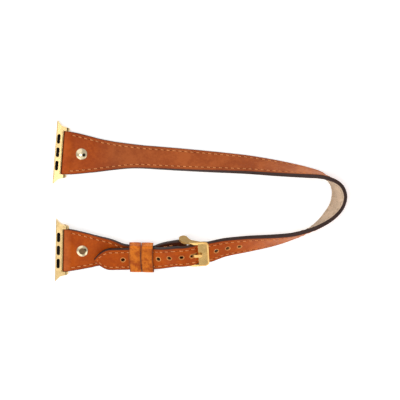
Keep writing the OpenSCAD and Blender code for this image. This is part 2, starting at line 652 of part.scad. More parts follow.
long_strap_outer();
long_strap_core();
long_strap_lining();
short_strap_outer();
short_strap_core();
short_strap_lining();
fixed_keeper();
free_keeper();
buckle_frame();
buckle_tongue();
spring_bar_tube();
spring_bar_tips();
spring_bar_spring();
adapter(upper_lug);  // upper_adapter
pads(upper_lug);  // upper_pads
latch_button(upper_lug);  // upper_latch_button
latch_spring(upper_lug);  // upper_latch_spring
latch_plate(upper_lug);  // upper_latch_plate
cross_screw(upper_lug);  // upper_cross_screw
rivet_cap(long_path);  // upper_rivet_cap
rivet_post(long_path);  // upper_rivet_post
adapter(lower_lug);  // lower_adapter
pads(lower_lug);  // lower_pads
latch_button(lower_lug);  // lower_latch_button
latch_spring(lower_lug);  // lower_latch_spring
latch_plate(lower_lug);  // lower_latch_plate
cross_screw(lower_lug);  // lower_cross_screw
dished_cap(short_path);  // lower_rivet_cap
rivet_post(short_path);  // lower_rivet_post
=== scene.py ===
"""Double wrap leather watch strap: leather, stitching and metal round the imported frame."""

import math

import bpy
import numpy as np
from bpy.props import FloatProperty, FloatVectorProperty, PointerProperty
from bpy.types import Operator, Panel, PropertyGroup
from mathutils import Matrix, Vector


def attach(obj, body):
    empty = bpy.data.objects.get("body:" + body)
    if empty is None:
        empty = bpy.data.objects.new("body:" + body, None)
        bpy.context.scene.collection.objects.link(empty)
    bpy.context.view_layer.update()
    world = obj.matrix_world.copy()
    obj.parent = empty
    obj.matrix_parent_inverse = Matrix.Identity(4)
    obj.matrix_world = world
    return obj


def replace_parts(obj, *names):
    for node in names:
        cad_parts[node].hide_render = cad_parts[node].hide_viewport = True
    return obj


bl_info = {
    "name": "Double Wrap Leather Watch Strap",
    "version": (1, 0, 0),
    "blender": (4, 5, 0),
    "location": "3D View > Sidebar > Watch Strap",
    "description": "Builds the strap's leather, stitching, edge paint, finishes and stage",
    "category": "Object",
}

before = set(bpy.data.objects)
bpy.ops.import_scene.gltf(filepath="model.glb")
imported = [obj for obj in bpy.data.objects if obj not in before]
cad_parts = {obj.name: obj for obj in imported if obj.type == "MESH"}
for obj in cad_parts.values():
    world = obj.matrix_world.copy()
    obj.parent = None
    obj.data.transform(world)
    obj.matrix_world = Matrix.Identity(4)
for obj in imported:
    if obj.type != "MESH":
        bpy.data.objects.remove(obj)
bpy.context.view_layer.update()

MM = 0.001                       # the patterns below are in millimetres, the scene in metres


# ------------------------------ sizes and colours

def linear(hex_value):
    """An sRGB hex value as linear red, green, blue and alpha."""
    c = [int(hex_value.lstrip("#")[i:i + 2], 16) / 255 for i in (0, 2, 4)]
    return tuple(x / 12.92 if x <= 0.04045 else ((x + 0.055) / 1.055) ** 2.4 for x in c) + (1.0,)


def millimetres(name, description, default, low, high):
    """A length that a user sets in the scene's unit; its default and limits are in millimetres."""
    return FloatProperty(name=name, description=description, default=default * MM, min=low * MM,
                         max=high * MM, precision=5, subtype="DISTANCE", unit="LENGTH")


def colour(name, description, default):
    """A colour that a user sets; its default is an sRGB hex value."""
    return FloatVectorProperty(name=name, description=description, default=linear(default)[:3],
                               min=0.0, max=1.0, size=3, subtype="COLOR")


class STRAP_PG_leather(PropertyGroup):
    """Sizes and colours of the leather layers"""
    end: colour("Long strap, end", "Outer leather next to the upper adapter", "#B04F14")
    middle: colour("Long strap, middle", "Outer leather of the upper strand", "#B55C2A")
    bend: colour("Long strap, bend", "Outer leather round the loop", "#D27A42")
    # bend: lighter round the loop, partly dye and partly painted sheen where the face turns to the
    # light
    tail: colour("Long strap, tail", "Outer leather of the lower strand", "#B64F00")
    short: colour("Buckle strap", "Outer leather of the buckle strap", "#B54E00")
    # fold: painted highlight, the crest of the buckle strap's fold drawn paler where it meets the
    # light
    fold: colour("Fold", "Crest of the buckle strap's fold, paled by wear", "#C05E22")
    # Painted shade: the buckle strap drawn dark where the tail lies over it and shades it
    shaded_under_tail: colour("Covered leather", "Buckle strap where the tail rubs it dark", "#5A2A16")
    keeper: colour("Keeper", "Leather of the two keepers", "#D2721C")
    edge: colour("Edge paint", "Painted edges of every layer", "#33211C")
    lining: colour("Lining", "Suede of the lining", "#CCB298")
    edge_round: millimetres("Edge rounding", "Radius of the face's pressed edge", 0.32, 0.1, 0.45)
    edge_bead: millimetres("Edge bead", "How far the edge paint stands out", 0.14, 0.02, 0.25)


class STRAP_PG_stitching(PropertyGroup):
    """Sizes and colours of the stitching"""
    thread: colour("Thread", "Waxed thread of the face", "#D48446")
    lining_thread: colour("Lining thread", "Waxed thread of the lining", "#B79C7C")
    pitch: millimetres("Pitch", "Distance from stitch to stitch", 3.1, 2.0, 4.5)
    length: millimetres("Length", "Visible length of a stitch", 2.1, 1.0, 3.5)
    diameter: millimetres("Diameter", "Diameter of the thread", 0.5, 0.2, 0.8)
    inset: millimetres("Inset", "Distance of the seam from the edge", 1.65, 1.0, 2.5)


class STRAP_PG_metal(PropertyGroup):
    """Colours of the metal, the rubber and the plastic"""
    adapter: colour("Adapter", "Pale gold plating of the adapters", "#E2C288")
    buckle: colour("Buckle", "Gold plating of the buckle", "#F0C57C")
    rivet: colour("Rivet", "Plating of the rivet caps", "#E9D6B0")
    # Painted reflection: the dark brown shown in the lower rivet's dish is drawn into its colour
    tarnish: colour("Tarnish", "Tarnish in the dish of the lower rivet", "#6A523A")
    steel: colour("Steel", "Spring bar and springs", "#B9B7B0")
    pad: colour("Pad", "Rubber pads of the adapters", "#0B0706")
    button: colour("Button", "Latch button", "#100A0A")


class STRAP_PG_stage(PropertyGroup):
    """The camera and the light"""
    camera_height: millimetres("Camera height", "Height of the camera over the strap's middle",
                               1500.0, 500.0, 5000.0)
    view_width: millimetres("View width", "Width of the table that the picture shows", 208.0,
                            100.0, 600.0)
    lamp: FloatProperty(name="Lamp", description="Power of the lamp in watts", default=3.0, min=0.0,
                        max=40.0)
    tent: FloatProperty(name="Tent", description="Strength of the white tent round the table",
                        default=1.0, min=0.0, max=4.0)


# ------------------------------ directions and frames

def unit(v):
    """Directions of length 1."""
    return v / np.linalg.norm(v, axis=-1, keepdims=True)


def smooth(t):
    """A soft rise from 0 to 1."""
    c = np.clip(t, 0.0, 1.0)
    return c * c * (3.0 - 2.0 * c)


def full_turn(count):
    """Angles evenly round a circle."""
    return np.linspace(0, 2 * math.pi, count, endpoint=False)


def running(points):
    """Distance of each point along their course."""
    return np.concatenate(([0.0], np.cumsum(np.linalg.norm(np.diff(points, axis=0), axis=1))))


def interpolated(at, run, values):
    """Rows of values at distances along their course."""
    return np.stack([np.interp(at, run, column) for column in values.T], -1)


CENTRING = np.array((0.26, 0.39, 0.025))


class Seat:
    """A place on the part: an origin and its along, across and up directions."""

    def __init__(self, origin, heading, roll):
        h, r = math.radians(heading), math.radians(roll)
        self.origin = np.array(origin) + CENTRING
        self.along = np.array((math.cos(h), math.sin(h), 0.0))
        self.across = np.array((-math.sin(h) * math.cos(r), math.cos(h) * math.cos(r), math.sin(r)))
        self.up = np.cross(self.along, self.across)

    def at(self, along, across, up):
        along, across, up = (np.asarray(c, float)[..., None] for c in (along, across, up))
        return self.origin + along * self.along + across * self.across + up * self.up


# The same places and stations as in the part's source. Only the long strap's fifth station
# lies 0.45 mm further in here, as in the photo.
STRAP_W, STRAP_T, SKIN_T, END_W = 11.8, 2.2, 0.9, 22.6
LONG_TAPER, SHORT_TAPER, TAPER_EASE, TIP_L = 44.0, 35.0, 0.75, 8.5
END_FLAP, BUCKLE_FLAP, FOLD_BLEND = 14.0, 8.0, 5.0
HOLE_PITCH, HOLE_D = 6.25, 2.2
HOLES_TO_TIP, HOLES_TO_LOOP, HOLE_STATION = 6, 4, 30
WORN = (-0.7, 0.9)
LUG_T, LUG_L, SCREW_X, SCREW_R = 3.2, 33.0, 5.25, 0.65
BAR_R = 0.75
EYE_R, EYE_L = BAR_R + 0.05 + 0.5, 2.6
RIVET_AT, RIVET_POST_D, RIVET_DISH = 8.7, 2.0, 1.9
KEEPER_L, KEEPER_T, KEEPER_GAP = 6.1, 0.95, 0.15
STACK = STRAP_T + 0.4
KEEPER_IN_W, KEEPER_IN_H, KEEPER_ROUND = STRAP_W + 1.6, STRAP_T + STACK + 0.2, 0.7
LOWER_ROLL = 13.0
SHORT_SKEW, LONG_SKEW, UNDER_BAR = -2.95, 2.75, 2.9
TONGUE_HOLE = (4.6, 4.7)

UPPER_LUG = Seat((-75.6, 25.0, LUG_T / 2), -4.4, 0.0)
LOWER_LUG = Seat((-75.1, -25.8, LUG_L / 2 * math.sin(math.radians(LOWER_ROLL))
                  + LUG_T / 2 * math.cos(math.radians(LOWER_ROLL))), -1.7, LOWER_ROLL)
KEEPER_SEAT = Seat((-30.2, -29.2, 4.9), -1.25, 27.0)
CLASP = Seat((-8.3, -25.9, 6.7), 3.5, 35.0)


def behind_screw(lug, s, turn=0.0):
    """Point and up direction at a distance behind an adapter's cross screw."""
    t = math.radians(turn)
    return lug.at(SCREW_X + s, 0, 0), math.cos(t) * lug.up + math.sin(t) * lug.across


def in_keepers(u, skew, up):
    """Point and up direction in the keepers, measured from their seat."""
    return KEEPER_SEAT.at(u, u * math.tan(math.radians(skew)), up), KEEPER_SEAT.up


def in_clasp(u, up):
    """Point and up direction in the buckle, measured from its spring bar."""
    return CLASP.at(u, 0, up), CLASP.up


# A free station is x, y, height of the lowest edge above the table, and roll
LONG_STATIONS = [
    *(behind_screw(UPPER_LUG, s) for s in (0, 7, 12.6)), behind_screw(UPPER_LUG, 16.5, 2.5),
    (-46, 23.05, 0.3, 5), (-36, 22.8, 0.1, 9), (-25, 22.1, 0, 14),
    (-12.5, 21.2, 0, 21), (0, 20.3, 0, 29), (12.5, 19.4, 0, 37), (25, 18.4, 0, 44.5),
    (37.5, 16.9, 0, 53), (48, 15.5, 0, 62.5), (56, 14.3, 0, 71), (62.5, 13, 0, 80),
    (68.1, 10.2, 0, 94), (71.6, 6.2, 0, 112), (72.5, 1.6, 0, 121), (71, -3.4, 0, 119),
    (67.3, -8.2, 0, 111), (62.1, -12.6, 0, 99), (56.2, -16, 0, 89), (47.8, -18.9, 0, 81),
    (37.4, -21.1, 0.2, 67.5), (25, -22.8, 1.3, 54), (13, -24.6, 2.8, 45),
    *(in_clasp(u, UNDER_BAR) for u in (13.4, 10.5, 8.2)), in_clasp(6.4, UNDER_BAR + 0.5),
    in_clasp(*TONGUE_HOLE), in_clasp(0, 5.7), in_clasp(-5, 5.5),
    *(in_keepers(u, LONG_SKEW, STACK) for u in (8, 0, -8, -16, -24.6))]
SHORT_STATIONS = [
    *(behind_screw(LOWER_LUG, s) for s in (0, 7, 12.6)), behind_screw(LOWER_LUG, 16.5, -4.5),
    (-47.3, -26.9, 1.85, -20.5),
    *(in_keepers(u, SHORT_SKEW, 0) for u in (-10, -1.55, 6)),
    (-18.7, -27.7, 1.5, -29), (-15, -26.7, 1.85, -32),
    in_clasp(-3.5, 0), in_clasp(0, 0)]


def station_point(st):
    if len(st) == 2:
        return st[0]
    x, y, lift, roll = st
    r = math.radians(roll)
    rest = STRAP_W / 2 * abs(math.sin(r)) + STRAP_T / 2 * abs(math.cos(r))
    return np.array((x, y, lift + rest)) + CENTRING


def station_up(stations, i):
    st = stations[i]
    if len(st) == 2:
        return st[1]
    d = station_point(stations[i + 1]) - station_point(stations[i - 1])
    d = unit(np.array((d[0], d[1], 0.0)))
    r = math.radians(st[3])
    return np.array((-d[1] * math.sin(r), d[0] * math.sin(r), math.cos(r)))


def blend(a, b, c, d, t):
    """A smooth course from b to c, which comes from a and goes on to d."""
    return 0.5 * (2 * b + (c - a) * t + (2 * a - 5 * b + 4 * c - d) * t ** 2
                  + (3 * b - a - 3 * c + d) * t ** 3)


class Route:
    """A strip's middle line: points, directions and running distance. Pieces are cut flat,
    as distance along, distance across and height, and laid on it."""

    def __init__(self, point, across, up):
        self.point = np.asarray(point)
        self.s = running(self.point)
        self.along = unit(np.gradient(self.point, axis=0))
        self.across, self.up = np.asarray(across), np.asarray(up)
        self.length = self.s[-1]

    def frames(self, s):
        """Points and directions at distances along; outside, the line goes on straight."""
        s = np.asarray(s, float)
        inside = np.clip(s, self.s[0], self.s[-1])
        along, across, up = (unit(interpolated(inside, self.s, directions))
                             for directions in (self.along, self.across, self.up))
        point = interpolated(inside, self.s, self.point) + (s - inside)[..., None] * along
        return point, along, across, up

    def lay(self, s, v, w):
        point, _, across, up = self.frames(s)
        return point + np.asarray(v)[..., None] * across + np.asarray(w)[..., None] * up


def route_of(stations, spacing):
    """The smooth route through all stations. Its marks are their distances."""
    p = [station_point(st) for st in stations]
    u = [station_up(stations, i) for i in range(len(stations))]
    last = len(p) - 2
    points, ups, marks = [], [], []
    for i in range(last + 1):
        before = p[i - 1] if i else 2 * p[0] - p[1]
        after = p[i + 2] if i < last else 2 * p[-1] - p[-2]
        steps = max(2, math.ceil(np.linalg.norm(p[i + 1] - p[i]) / spacing))
        marks.append(len(points))
        for j in range(steps + (i == last)):
            t = j / steps
            points.append(blend(before, p[i], p[i + 1], after, t))
            ups.append(unit(u[i] + (u[i + 1] - u[i]) * t))
    points, ups = np.array(points), np.array(ups)
    along = unit(np.gradient(points, axis=0))
    across = unit(np.cross(ups, along))
    route = Route(points, across, np.cross(along, across))
    route.marks = route.s[marks]
    return route


FINE = 0.4                       # spacing of the points along a strap
FOLD_RINGS = 25                  # points round a fold
LONG = route_of(LONG_STATIONS, FINE)
SHORT = route_of(SHORT_STATIONS, FINE)
PRONG_S = LONG.marks[HOLE_STATION]
SKIN_OFF = (STRAP_T - SKIN_T) / 2


def taper(s, length):
    """Half the width of a strap that narrows over that length."""
    narrowed = smooth((np.maximum(s, 0) / length) ** TAPER_EASE)
    return STRAP_W / 2 + (END_W - STRAP_W) / 2 * (1 - narrowed)


def long_half(s):
    s = np.asarray(s, float)
    d = np.clip((LONG.length - s) / TIP_L, 0.0, 1.0)
    point = np.maximum(0.03, 1 - (1 - d) ** 2)
    return taper(np.maximum(s, 0), LONG_TAPER) * point


def short_half(s):
    return taper(np.maximum(np.asarray(s, float), 0), SHORT_TAPER)


def fold_off(s, pin_r):
    """Distance of the folded leather's middle from the strap's middle plane."""
    fold_r = pin_r + SKIN_T / 2
    return fold_r + (SKIN_OFF - fold_r) * smooth(np.asarray(s) / FOLD_BLEND)


def fold_length(pin_r):
    """Length of the outer leather's middle round a pin, half a turn."""
    return math.pi * (pin_r + SKIN_T / 2)


def skin_route(route, flap, end_flap=0.0):
    """Middle of the outer leather: flap, fold round the screw, face, and at the buckle
    a second fold and flap. On the face its distance is that of the strap's middle line,
    before it the fold and the flap count below 0, and after it on past the end."""
    top = np.arange(0.0, route.length + 1e-6, FINE)
    top = np.append(top[top < route.length - FINE / 3], route.length)
    off = fold_off(top, SCREW_R)
    if end_flap:
        off = np.maximum(off, fold_off(route.length - top, BAR_R))
    turns = np.radians(np.linspace(0, 180, FOLD_RINGS))
    round_screw, round_bar = fold_length(SCREW_R), fold_length(BAR_R)

    def lie(s, offset, side):
        point, _, across, up = route.frames(s)
        return point + side * offset[:, None] * up, across, side * up

    def fold(s, r, side):
        point, along, across, up = (f[0] for f in route.frames(np.array([s])))
        out = np.cos(turns)[:, None] * up + side * np.sin(turns)[:, None] * along
        return point + r * out, np.repeat(across[None], len(turns), 0), out

    back = np.arange(flap, 0.1, -FINE)
    face = slice(1, -1 if end_flap else None)
    parts = [lie(back, fold_off(back, SCREW_R), -1),
             tuple(a[::-1] for a in fold(0.0, SCREW_R + SKIN_T / 2, -1)),
             lie(top[face], off[face], 1)]
    distance = [-round_screw - back, -round_screw * turns[::-1] / math.pi, top[face]]
    if end_flap:
        out = np.arange(0.3, end_flap, FINE)
        parts += [fold(route.length, BAR_R + SKIN_T / 2, 1),
                  lie(route.length - out, fold_off(out, BAR_R), -1)]
        distance += [route.length + round_bar * turns / math.pi, route.length + round_bar + out]
    point, across, up = (np.concatenate(a) for a in zip(*parts))
    skin = Route(point, across, up)
    skin.s = np.concatenate(distance)
    skin.along = unit(np.cross(across, up))
    skin.length = skin.s[-1]
    return skin


def on_strap(s):
    """Distance along the strap of a place on the outer leather, its fold and flap too."""
    round_screw = fold_length(SCREW_R)
    return np.where(s < -round_screw, -round_screw - s, np.maximum(s, 0.0))


def long_face(s):
    """Height of the long strap's face over its middle plane."""
    return fold_off(s, SCREW_R) + SKIN_T / 2


def short_face(s):
    """Height of the buckle strap's face over its middle plane."""
    return np.maximum(fold_off(s, SCREW_R), fold_off(SHORT.length - s, BAR_R)) + SKIN_T / 2


# ------------------------------ mesh making

def new_object(name, mesh):
    obj = bpy.data.objects.new(name, mesh)
    bpy.context.scene.collection.objects.link(obj)
    return obj


def mesh_of(name, points, faces, materials):
    """A mesh from points in millimetres."""
    mesh = bpy.data.meshes.new(name)
    mesh.from_pydata((np.asarray(points) * MM).tolist(), [], faces)
    for m in materials:
        mesh.materials.append(m)
    return mesh


def riding(name, mesh, body):
    """A piece with that mesh, riding on a body."""
    piece = new_object(name, mesh)
    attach(piece, body)
    return piece


def new_piece(name, points, faces, body, slot, materials, face_material=None):
    """A piece with smooth faces from points in millimetres, riding on a body."""
    mesh = mesh_of(name, points, faces, materials)
    if face_material is not None:
        mesh.polygons.foreach_set("material_index", np.asarray(face_material, np.int32))
    mesh.polygons.foreach_set("use_smooth", np.full(len(mesh.polygons), True))
    mesh.validate()
    mesh.update()
    return riding(name, mesh, body)


def tube_faces(rings, around, closed=False, offset=0):
    """Faces of a tube of rings, with flat ends unless it closes on itself."""
    faces = []
    for i in range(rings if closed else rings - 1):
        a, b = offset + i * around, offset + (i + 1) % rings * around
        for j in range(around):
            k = (j + 1) % around
            faces.append((a + j, a + k, b + k, b + j))
    if not closed:
        faces.append(tuple(offset + j for j in range(around - 1, -1, -1)))
        faces.append(tuple(offset + (rings - 1) * around + j for j in range(around)))
    return faces


def add_attribute(mesh, name, values):
    """A number at each point, which a material reads."""
    attribute = mesh.attributes.new(name, "FLOAT", "POINT")
    attribute.data.foreach_set("value", np.asarray(values, np.float32))


def mark_sharp(mesh, angle_deg):
    """Keeps edges sharper than an angle crisp under smooth shading."""
    mesh.set_sharp_from_angle(angle=math.radians(angle_deg))


# ------------------------------ materials

def shade(tone, factor=1.0):
    """A colour made lighter or darker, with full alpha."""
    return tuple(min(1.0, factor * c) for c in tuple(tone)[:3]) + (1.0,)


def set_node(material, node, settings):
    """Sets a node's properties, and its input sockets by name or number. A socket takes a
    constant or another node's output."""
    for key, value in settings.items():
        if isinstance(value, bpy.types.NodeSocket):
            material.node_tree.links.new(value, node.inputs[key])
        elif isinstance(key, int) or key in node.inputs:
            node.inputs[key].default_value = value
        else:
            setattr(node, key, value)
    return node


def add_node(material, kind, settings):
    return set_node(material, material.node_tree.nodes.new(kind), settings)


def new_material(name, base, sockets):
    """A material whose Principled shader has these sockets; base makes some of them."""
    material = bpy.data.materials.new(name)
    material.use_nodes = True
    set_node(material, material.node_tree.nodes["Principled BSDF"], {**base(material), **sockets})
    return material


def place_on(material):
    """The place on the piece by which a pattern is laid."""
    nodes = material.node_tree.nodes
    return (nodes.get("Texture Coordinate") or nodes.new("ShaderNodeTexCoord")).outputs["Object"]


def attribute(material, name):
    return add_node(material, "ShaderNodeAttribute", {"attribute_name": name}).outputs["Fac"]


def per_mm(millimetre_size):
    """Texture scale at which one feature of a noise is this many millimetres wide."""
    return 1.0 / (millimetre_size * MM)


def noise(material, size, detail, roughness=0.5, **more):
    """A noise with features of that size in millimetres."""
    return add_node(material, "ShaderNodeTexNoise",
                    {"Vector": place_on(material), "Scale": per_mm(size), "Detail": detail,
                     "Roughness": roughness, **more}).outputs["Fac"]


def ramp(material, source, stops):
    """Colours at their places on a scale from 0 to 1."""
    node = add_node(material, "ShaderNodeValToRGB", {"Fac": source})
    elements = node.color_ramp.elements
    elements.remove(elements[1])
    elements[0].position, elements[0].color = stops[0]
    for place, value in stops[1:]:
        elements.new(place).color = value
    return node.outputs["Color"]


def calculate(material, operation, *values):
    return add_node(material, "ShaderNodeMath",
                    {"operation": operation, **dict(enumerate(values))}).outputs["Value"]


def spread(material, value, start, end, **more):
    """A value spread from one range onto another."""
    return add_node(material, "ShaderNodeMapRange",
                    {"From Min": start[0], "From Max": start[1], "To Min": end[0],
                     "To Max": end[1], "Value": value, **more}).outputs["Result"]


def mix(material, factor, under, over, blend_type="MIX"):
    return add_node(material, "ShaderNodeMix",
                    {"data_type": "RGBA", "blend_type": blend_type, 0: factor, 6: under,
                     7: over}).outputs[2]


def bump(material, strength, depth, height, **more):
    """Relief of that depth in millimetres."""
    return add_node(material, "ShaderNodeBump",
                    {"Strength": strength, "Distance": depth * MM, "Height": height,
                     **more}).outputs["Normal"]


def aniline_leather(name, tones, cloud=9.0, contrast=0.3, roughness=0.46):
    """Full grain aniline leather, drum dyed and waxed. Its colour goes from tone to tone along
    the strap, at the distances given; some tones are dye, some painted highlight, sheen and
    shade. It has clouds that are centimetres wide, and is redder where it is deeper, so it
    looks worn in. The fine pebble is drawn at 0.6 mm, the real one is half that, and a soft
    wax shine breaks up over it. It is darker within a millimetre of the edges, partly from
    the burnishing of the pressed edges and partly as painted shade at the keepers' edges, and
    nearly black where the fold turns under by the adapter, a painted shadow."""
    def base(m):
        along, reach = attribute(m, "along"), tones[-1][0]
        dye = ramp(m, calculate(m, "DIVIDE", along, reach),
                   [(at / reach, shade(tone)) for at, tone in tones])
        clouds = noise(m, cloud, 2.0, Distortion=0.5)
        fine = noise(m, 1.2, 4.0, 0.7)
        both = calculate(m, "MULTIPLY_ADD", fine, 0.75, clouds)
        deeper = (1 - 0.75 * contrast, 1 - 1.1 * contrast, 1 - 1.25 * contrast)
        shading = ramp(m, both, [(0.72, shade(deeper)), (1.02, shade((1, 1, 1)))])
        dyed = mix(m, 1.0, dye, shading, "MULTIPLY")
        # Darker near the edges: burnishing, and on the keepers painted shade at their edges
        burnish_and_edge_shade = spread(m, attribute(m, "from_edge"), (0.0, 1.0), (0.5, 0.0))
        burnished_and_shaded = mix(m, burnish_and_edge_shade, dyed, linear("#8A5A40"), "MULTIPLY")
        # Painted shadow: nearly black where the fold turns under, by the gap at the adapter
        fold_shade = spread(m, along, (-0.4, -0.9), (0.0, 0.9))
        pebble = add_node(m, "ShaderNodeTexVoronoi",
                          {"feature": "DISTANCE_TO_EDGE", "Vector": place_on(m),
                           "Scale": per_mm(0.6), "Randomness": 1.0}).outputs["Distance"]
        skin = bump(m, 0.5, 0.08, spread(m, pebble, (0.0, 0.35), (0.0, 1.0)))
        return {"Base Color": mix(m, fold_shade, burnished_and_shaded, linear("#2C1509")),
                "Normal": bump(m, 0.3, 0.12, both, Normal=skin),
                "Roughness": spread(m, fine, (0.3, 0.7), (roughness + 0.08, roughness - 0.06))}
    return new_material(name, base, {"Specular IOR Level": 0.13})


def one_grain(size, detail, stops, strength, depth):
    """A surface in which one noise gives both the shading and the relief."""
    def base(m):
        grain = noise(m, size, detail)
        return {"Base Color": ramp(m, grain, stops), "Normal": bump(m, strength, depth, grain)}
    return base


def cut_leather(name, tone):
    """Leather cut across its fibres by a punch or an awl: matt and fuzzy, without the shine
    of the face. The fibres are drawn at 0.3 mm."""
    fibres = one_grain(0.3, 3.0, [(0.3, shade(tone, 0.6)), (0.7, shade(tone))], 0.5, 0.06)
    return new_material(name, fibres, {"Roughness": 0.9, "Specular IOR Level": 0.1})


def edge_paint(name, tone):
    """Water based edge paint, brushed on in coats: nearly black brown, a low even shine,
    with long faint waves left by the applicator."""
    waves = one_grain(2.5, 3.0, [(0.3, shade(tone)), (0.75, shade(tone, 1.5))], 0.3, 0.08)
    return new_material(name, waves, {"Roughness": 0.5, "Specular IOR Level": 0.25})


def waxed_thread(name, tone):
    """Waxed polyester thread, three plies: the twist shows as fine light and dark."""
    plies = one_grain(0.5, 2.0, [(0.35, shade(tone, 0.72)), (0.65, shade(tone, 1.2))], 0.4, 0.05)
    return new_material(name, plies, {"Roughness": 0.55})


def moulded(name, tone, roughness):
    """Moulded rubber or plastic, nearly black, with the fine matt of the tool at 0.3 mm."""
    matt = one_grain(0.3, 2.0, [(0.3, shade(tone)), (0.8, shade(tone, 1.4))], 0.15, 0.03)
    return new_material(name, matt, {"Roughness": roughness, "Specular IOR Level": 0.05})


def lining_suede(name, tone):
    """Split suede, buffed: no shine, a short nap that lies in tufts and soft clouds. The
    tufts are drawn at 0.8 mm, about twice their real size."""
    def base(m):
        nap = noise(m, 0.8, 6.0, 0.7)
        both = calculate(m, "MULTIPLY_ADD", noise(m, 5.0, 2.0), 0.5, nap)
        stops = [(0.58, shade(tone, 0.74)), (0.75, shade(tone)), (0.92, shade(tone, 1.25))]
        return {"Base Color": ramp(m, both, stops), "Normal": bump(m, 0.8, 0.15, nap)}
    return new_material(name, base, {"Roughness": 0.95, "Specular IOR Level": 0.1,
                                     "Sheen Weight": 0.1, "Sheen Roughness": 0.5})


def plated_metal(name, tone, roughness, brushed=0.0, dish=None, tarnish=None):
    """Gold coloured plating over polished steel: the base colour is the reflection, with
    faint polishing haze. Brushed faces get streaks 0.15 mm apart, drawn coarser at 0.4 mm.
    In a dish the plating is rougher and goes brown, a painted dark reflection; the dish is
    given as its middle and the distances between which that painted reflection fades."""
    def base(m):
        haze = noise(m, 3.0, 4.0)
        rough = spread(m, haze, (0.3, 0.7), (roughness * 0.8, roughness * 1.25))
        plating = ramp(m, haze, [(0.35, shade(tone, 0.93)), (0.65, shade(tone))])
        if dish is not None:
            apart = add_node(m, "ShaderNodeVectorMath",
                             {"operation": "DISTANCE", 0: place_on(m), 1: dish[0]})
            inside = spread(m, apart.outputs["Value"], dish[1:], (1.0, 0.0),
                            interpolation_type="SMOOTHSTEP")
            plating = mix(m, inside, plating, shade(tarnish))
            rough = calculate(m, "MULTIPLY_ADD", inside, 0.3, rough)
        relief = (0.05, 0.03, haze)
        if brushed:
            stretched = add_node(m, "ShaderNodeMapping",
                                 {"Vector": place_on(m), "Scale": (1.0, 0.06, 0.06)})
            relief = (brushed, 0.02, noise(m, 0.4, 2.0, Vector=stretched.outputs["Vector"]))
        return {"Base Color": plating, "Roughness": rough, "Normal": bump(m, *relief)}
    return new_material(name, base, {"Metallic": 1.0})


def white_table(name):
    """A white laminate table. What the camera sees of it is lifted to white, and it keeps
    the strap's shadow."""
    def base(m):
        path = add_node(m, "ShaderNodeLightPath", {}).outputs
        seen = calculate(m, "MAXIMUM", path["Is Camera Ray"], path["Is Glossy Ray"])
        return {"Emission Strength": calculate(m, "MULTIPLY", seen, 0.45)}
    return new_material(name, base, {"Base Color": shade((0.85, 0.85, 0.85)), "Roughness": 0.9,
                                     "Specular IOR Level": 0.0,
                                     "Emission Color": shade((1.0, 1.0, 1.0))})


def material(name, make, *settings, **more):
    """The material of that name, made once. No name here is one of the frame's own."""
    return bpy.data.materials.get(name) or make(name, *settings, **more)


def long_leather():
    c = bpy.context.scene.strap_leather
    # fold is a painted highlight on the fold's crest by the adapter; the bend tone is partly
    # painted sheen
    fold = shade(c.end, 1.15)
    return material("aniline_leather", aniline_leather,
                    [(0, fold), (1.6, fold), (3.4, c.end), (14, c.end), (26, shade(c.middle, 0.85)),
                     (60, c.middle), (100, c.middle), (126, c.bend), (180, c.bend),
                     (215, c.tail), (LONG.length, c.tail)])


def short_leather():
    c = bpy.context.scene.strap_leather
    # From the start: a painted highlight on the fold's crest; from 22 mm on, painted shade where
    # the tail lies over the strap
    return material("aniline_leather_buckle_side", aniline_leather,
                    [(0, c.fold), (1.2, c.fold), (3.4, c.short), (22, c.short),
                     (31, shade(c.short, 0.6)), (45, c.shaded_under_tail), (SHORT.length, c.shaded_under_tail)])


def keeper_leather():
    """Its distance goes from 0 at the bent side walls to 1 on the flats. The side walls are
    drawn paler, a painted light where they face away from the lamps.
    """
    c = bpy.context.scene.strap_leather
    painted_side_light = shade(c.keeper, 1.35)
    return material("aniline_leather_keeper", aniline_leather,
                    [(0, painted_side_light), (0.3, painted_side_light), (0.7, c.keeper), (1, c.keeper)],
                    cloud=5.0, contrast=0.6, roughness=0.42)


def rim_leather():
    worn = linear("#E09A55")
    return material("pressed_rim_leather", aniline_leather, [(0, worn), (1, worn)])


def hole_wall():
    return material("cut_leather", cut_leather, linear("#CE8C50"))


# Painted shade: hole walls in the core and the lining drawn dark brown, as the holes darken with
# depth
def shaded_inner_wall():
    return material("cut_core_leather", cut_leather, linear("#3E2113"))


def painted_edge():
    return material("edge_paint", edge_paint, bpy.context.scene.strap_leather.edge)


def suede():
    return material("buffed_split_suede", lining_suede, bpy.context.scene.strap_leather.lining)


# ------------------------------ leather strips

CORE_T, CORE_INSET = STRAP_T - 2 * SKIN_T, 0.02
FACE_INSETS = (0.0, 0.04, 0.1, 0.18, 0.3, 0.5, 0.9, 1.25, 1.45, 1.65, 1.85, 2.05, 2.4)
FULL_HALF = 3.0                  # half width under which insets and rounding shrink
INNER_STEPS = 10
# The groove that the pulled thread presses into the face, and where behind the fold it begins
GROOVE_W, SEAM_DEPTH, GROOVE_RISE = 0.3, 0.07, 1.5
SEWN_HALF = 2.5                  # half width under which a strip isn't sewn
# Distances from the screw and from the spring bar between which the rings lie close
FOLD_ZONE, BUCKLE_ZONE = (-4.0, 6.0), (-3.9, 6.0)
FLAP_STEP, FOLD_STEP, BODY_STEP, OUTLINE_STEP, RING_GAP = 1.2, 0.25, 0.8, 0.6, 0.2
TIP_RINGS, TIP_OUTLINE = 22, 60
PAINT_START, PAINT_RISE = 1.8, 4.0     # where the edge paint begins and becomes full
# How far before the spring bar the buckle strap's groove, edge paint and seam end
GROOVE_STOP, PAINT_STOP, SEAM_STOP = 3.0, 2.2, 3.2
RIVET_CLEAR = 0.02
# Angles in degrees over which an edge stays crisp
LEATHER_CREASE, KEEPER_CREASE, METAL_CREASE = 50, 55, 28


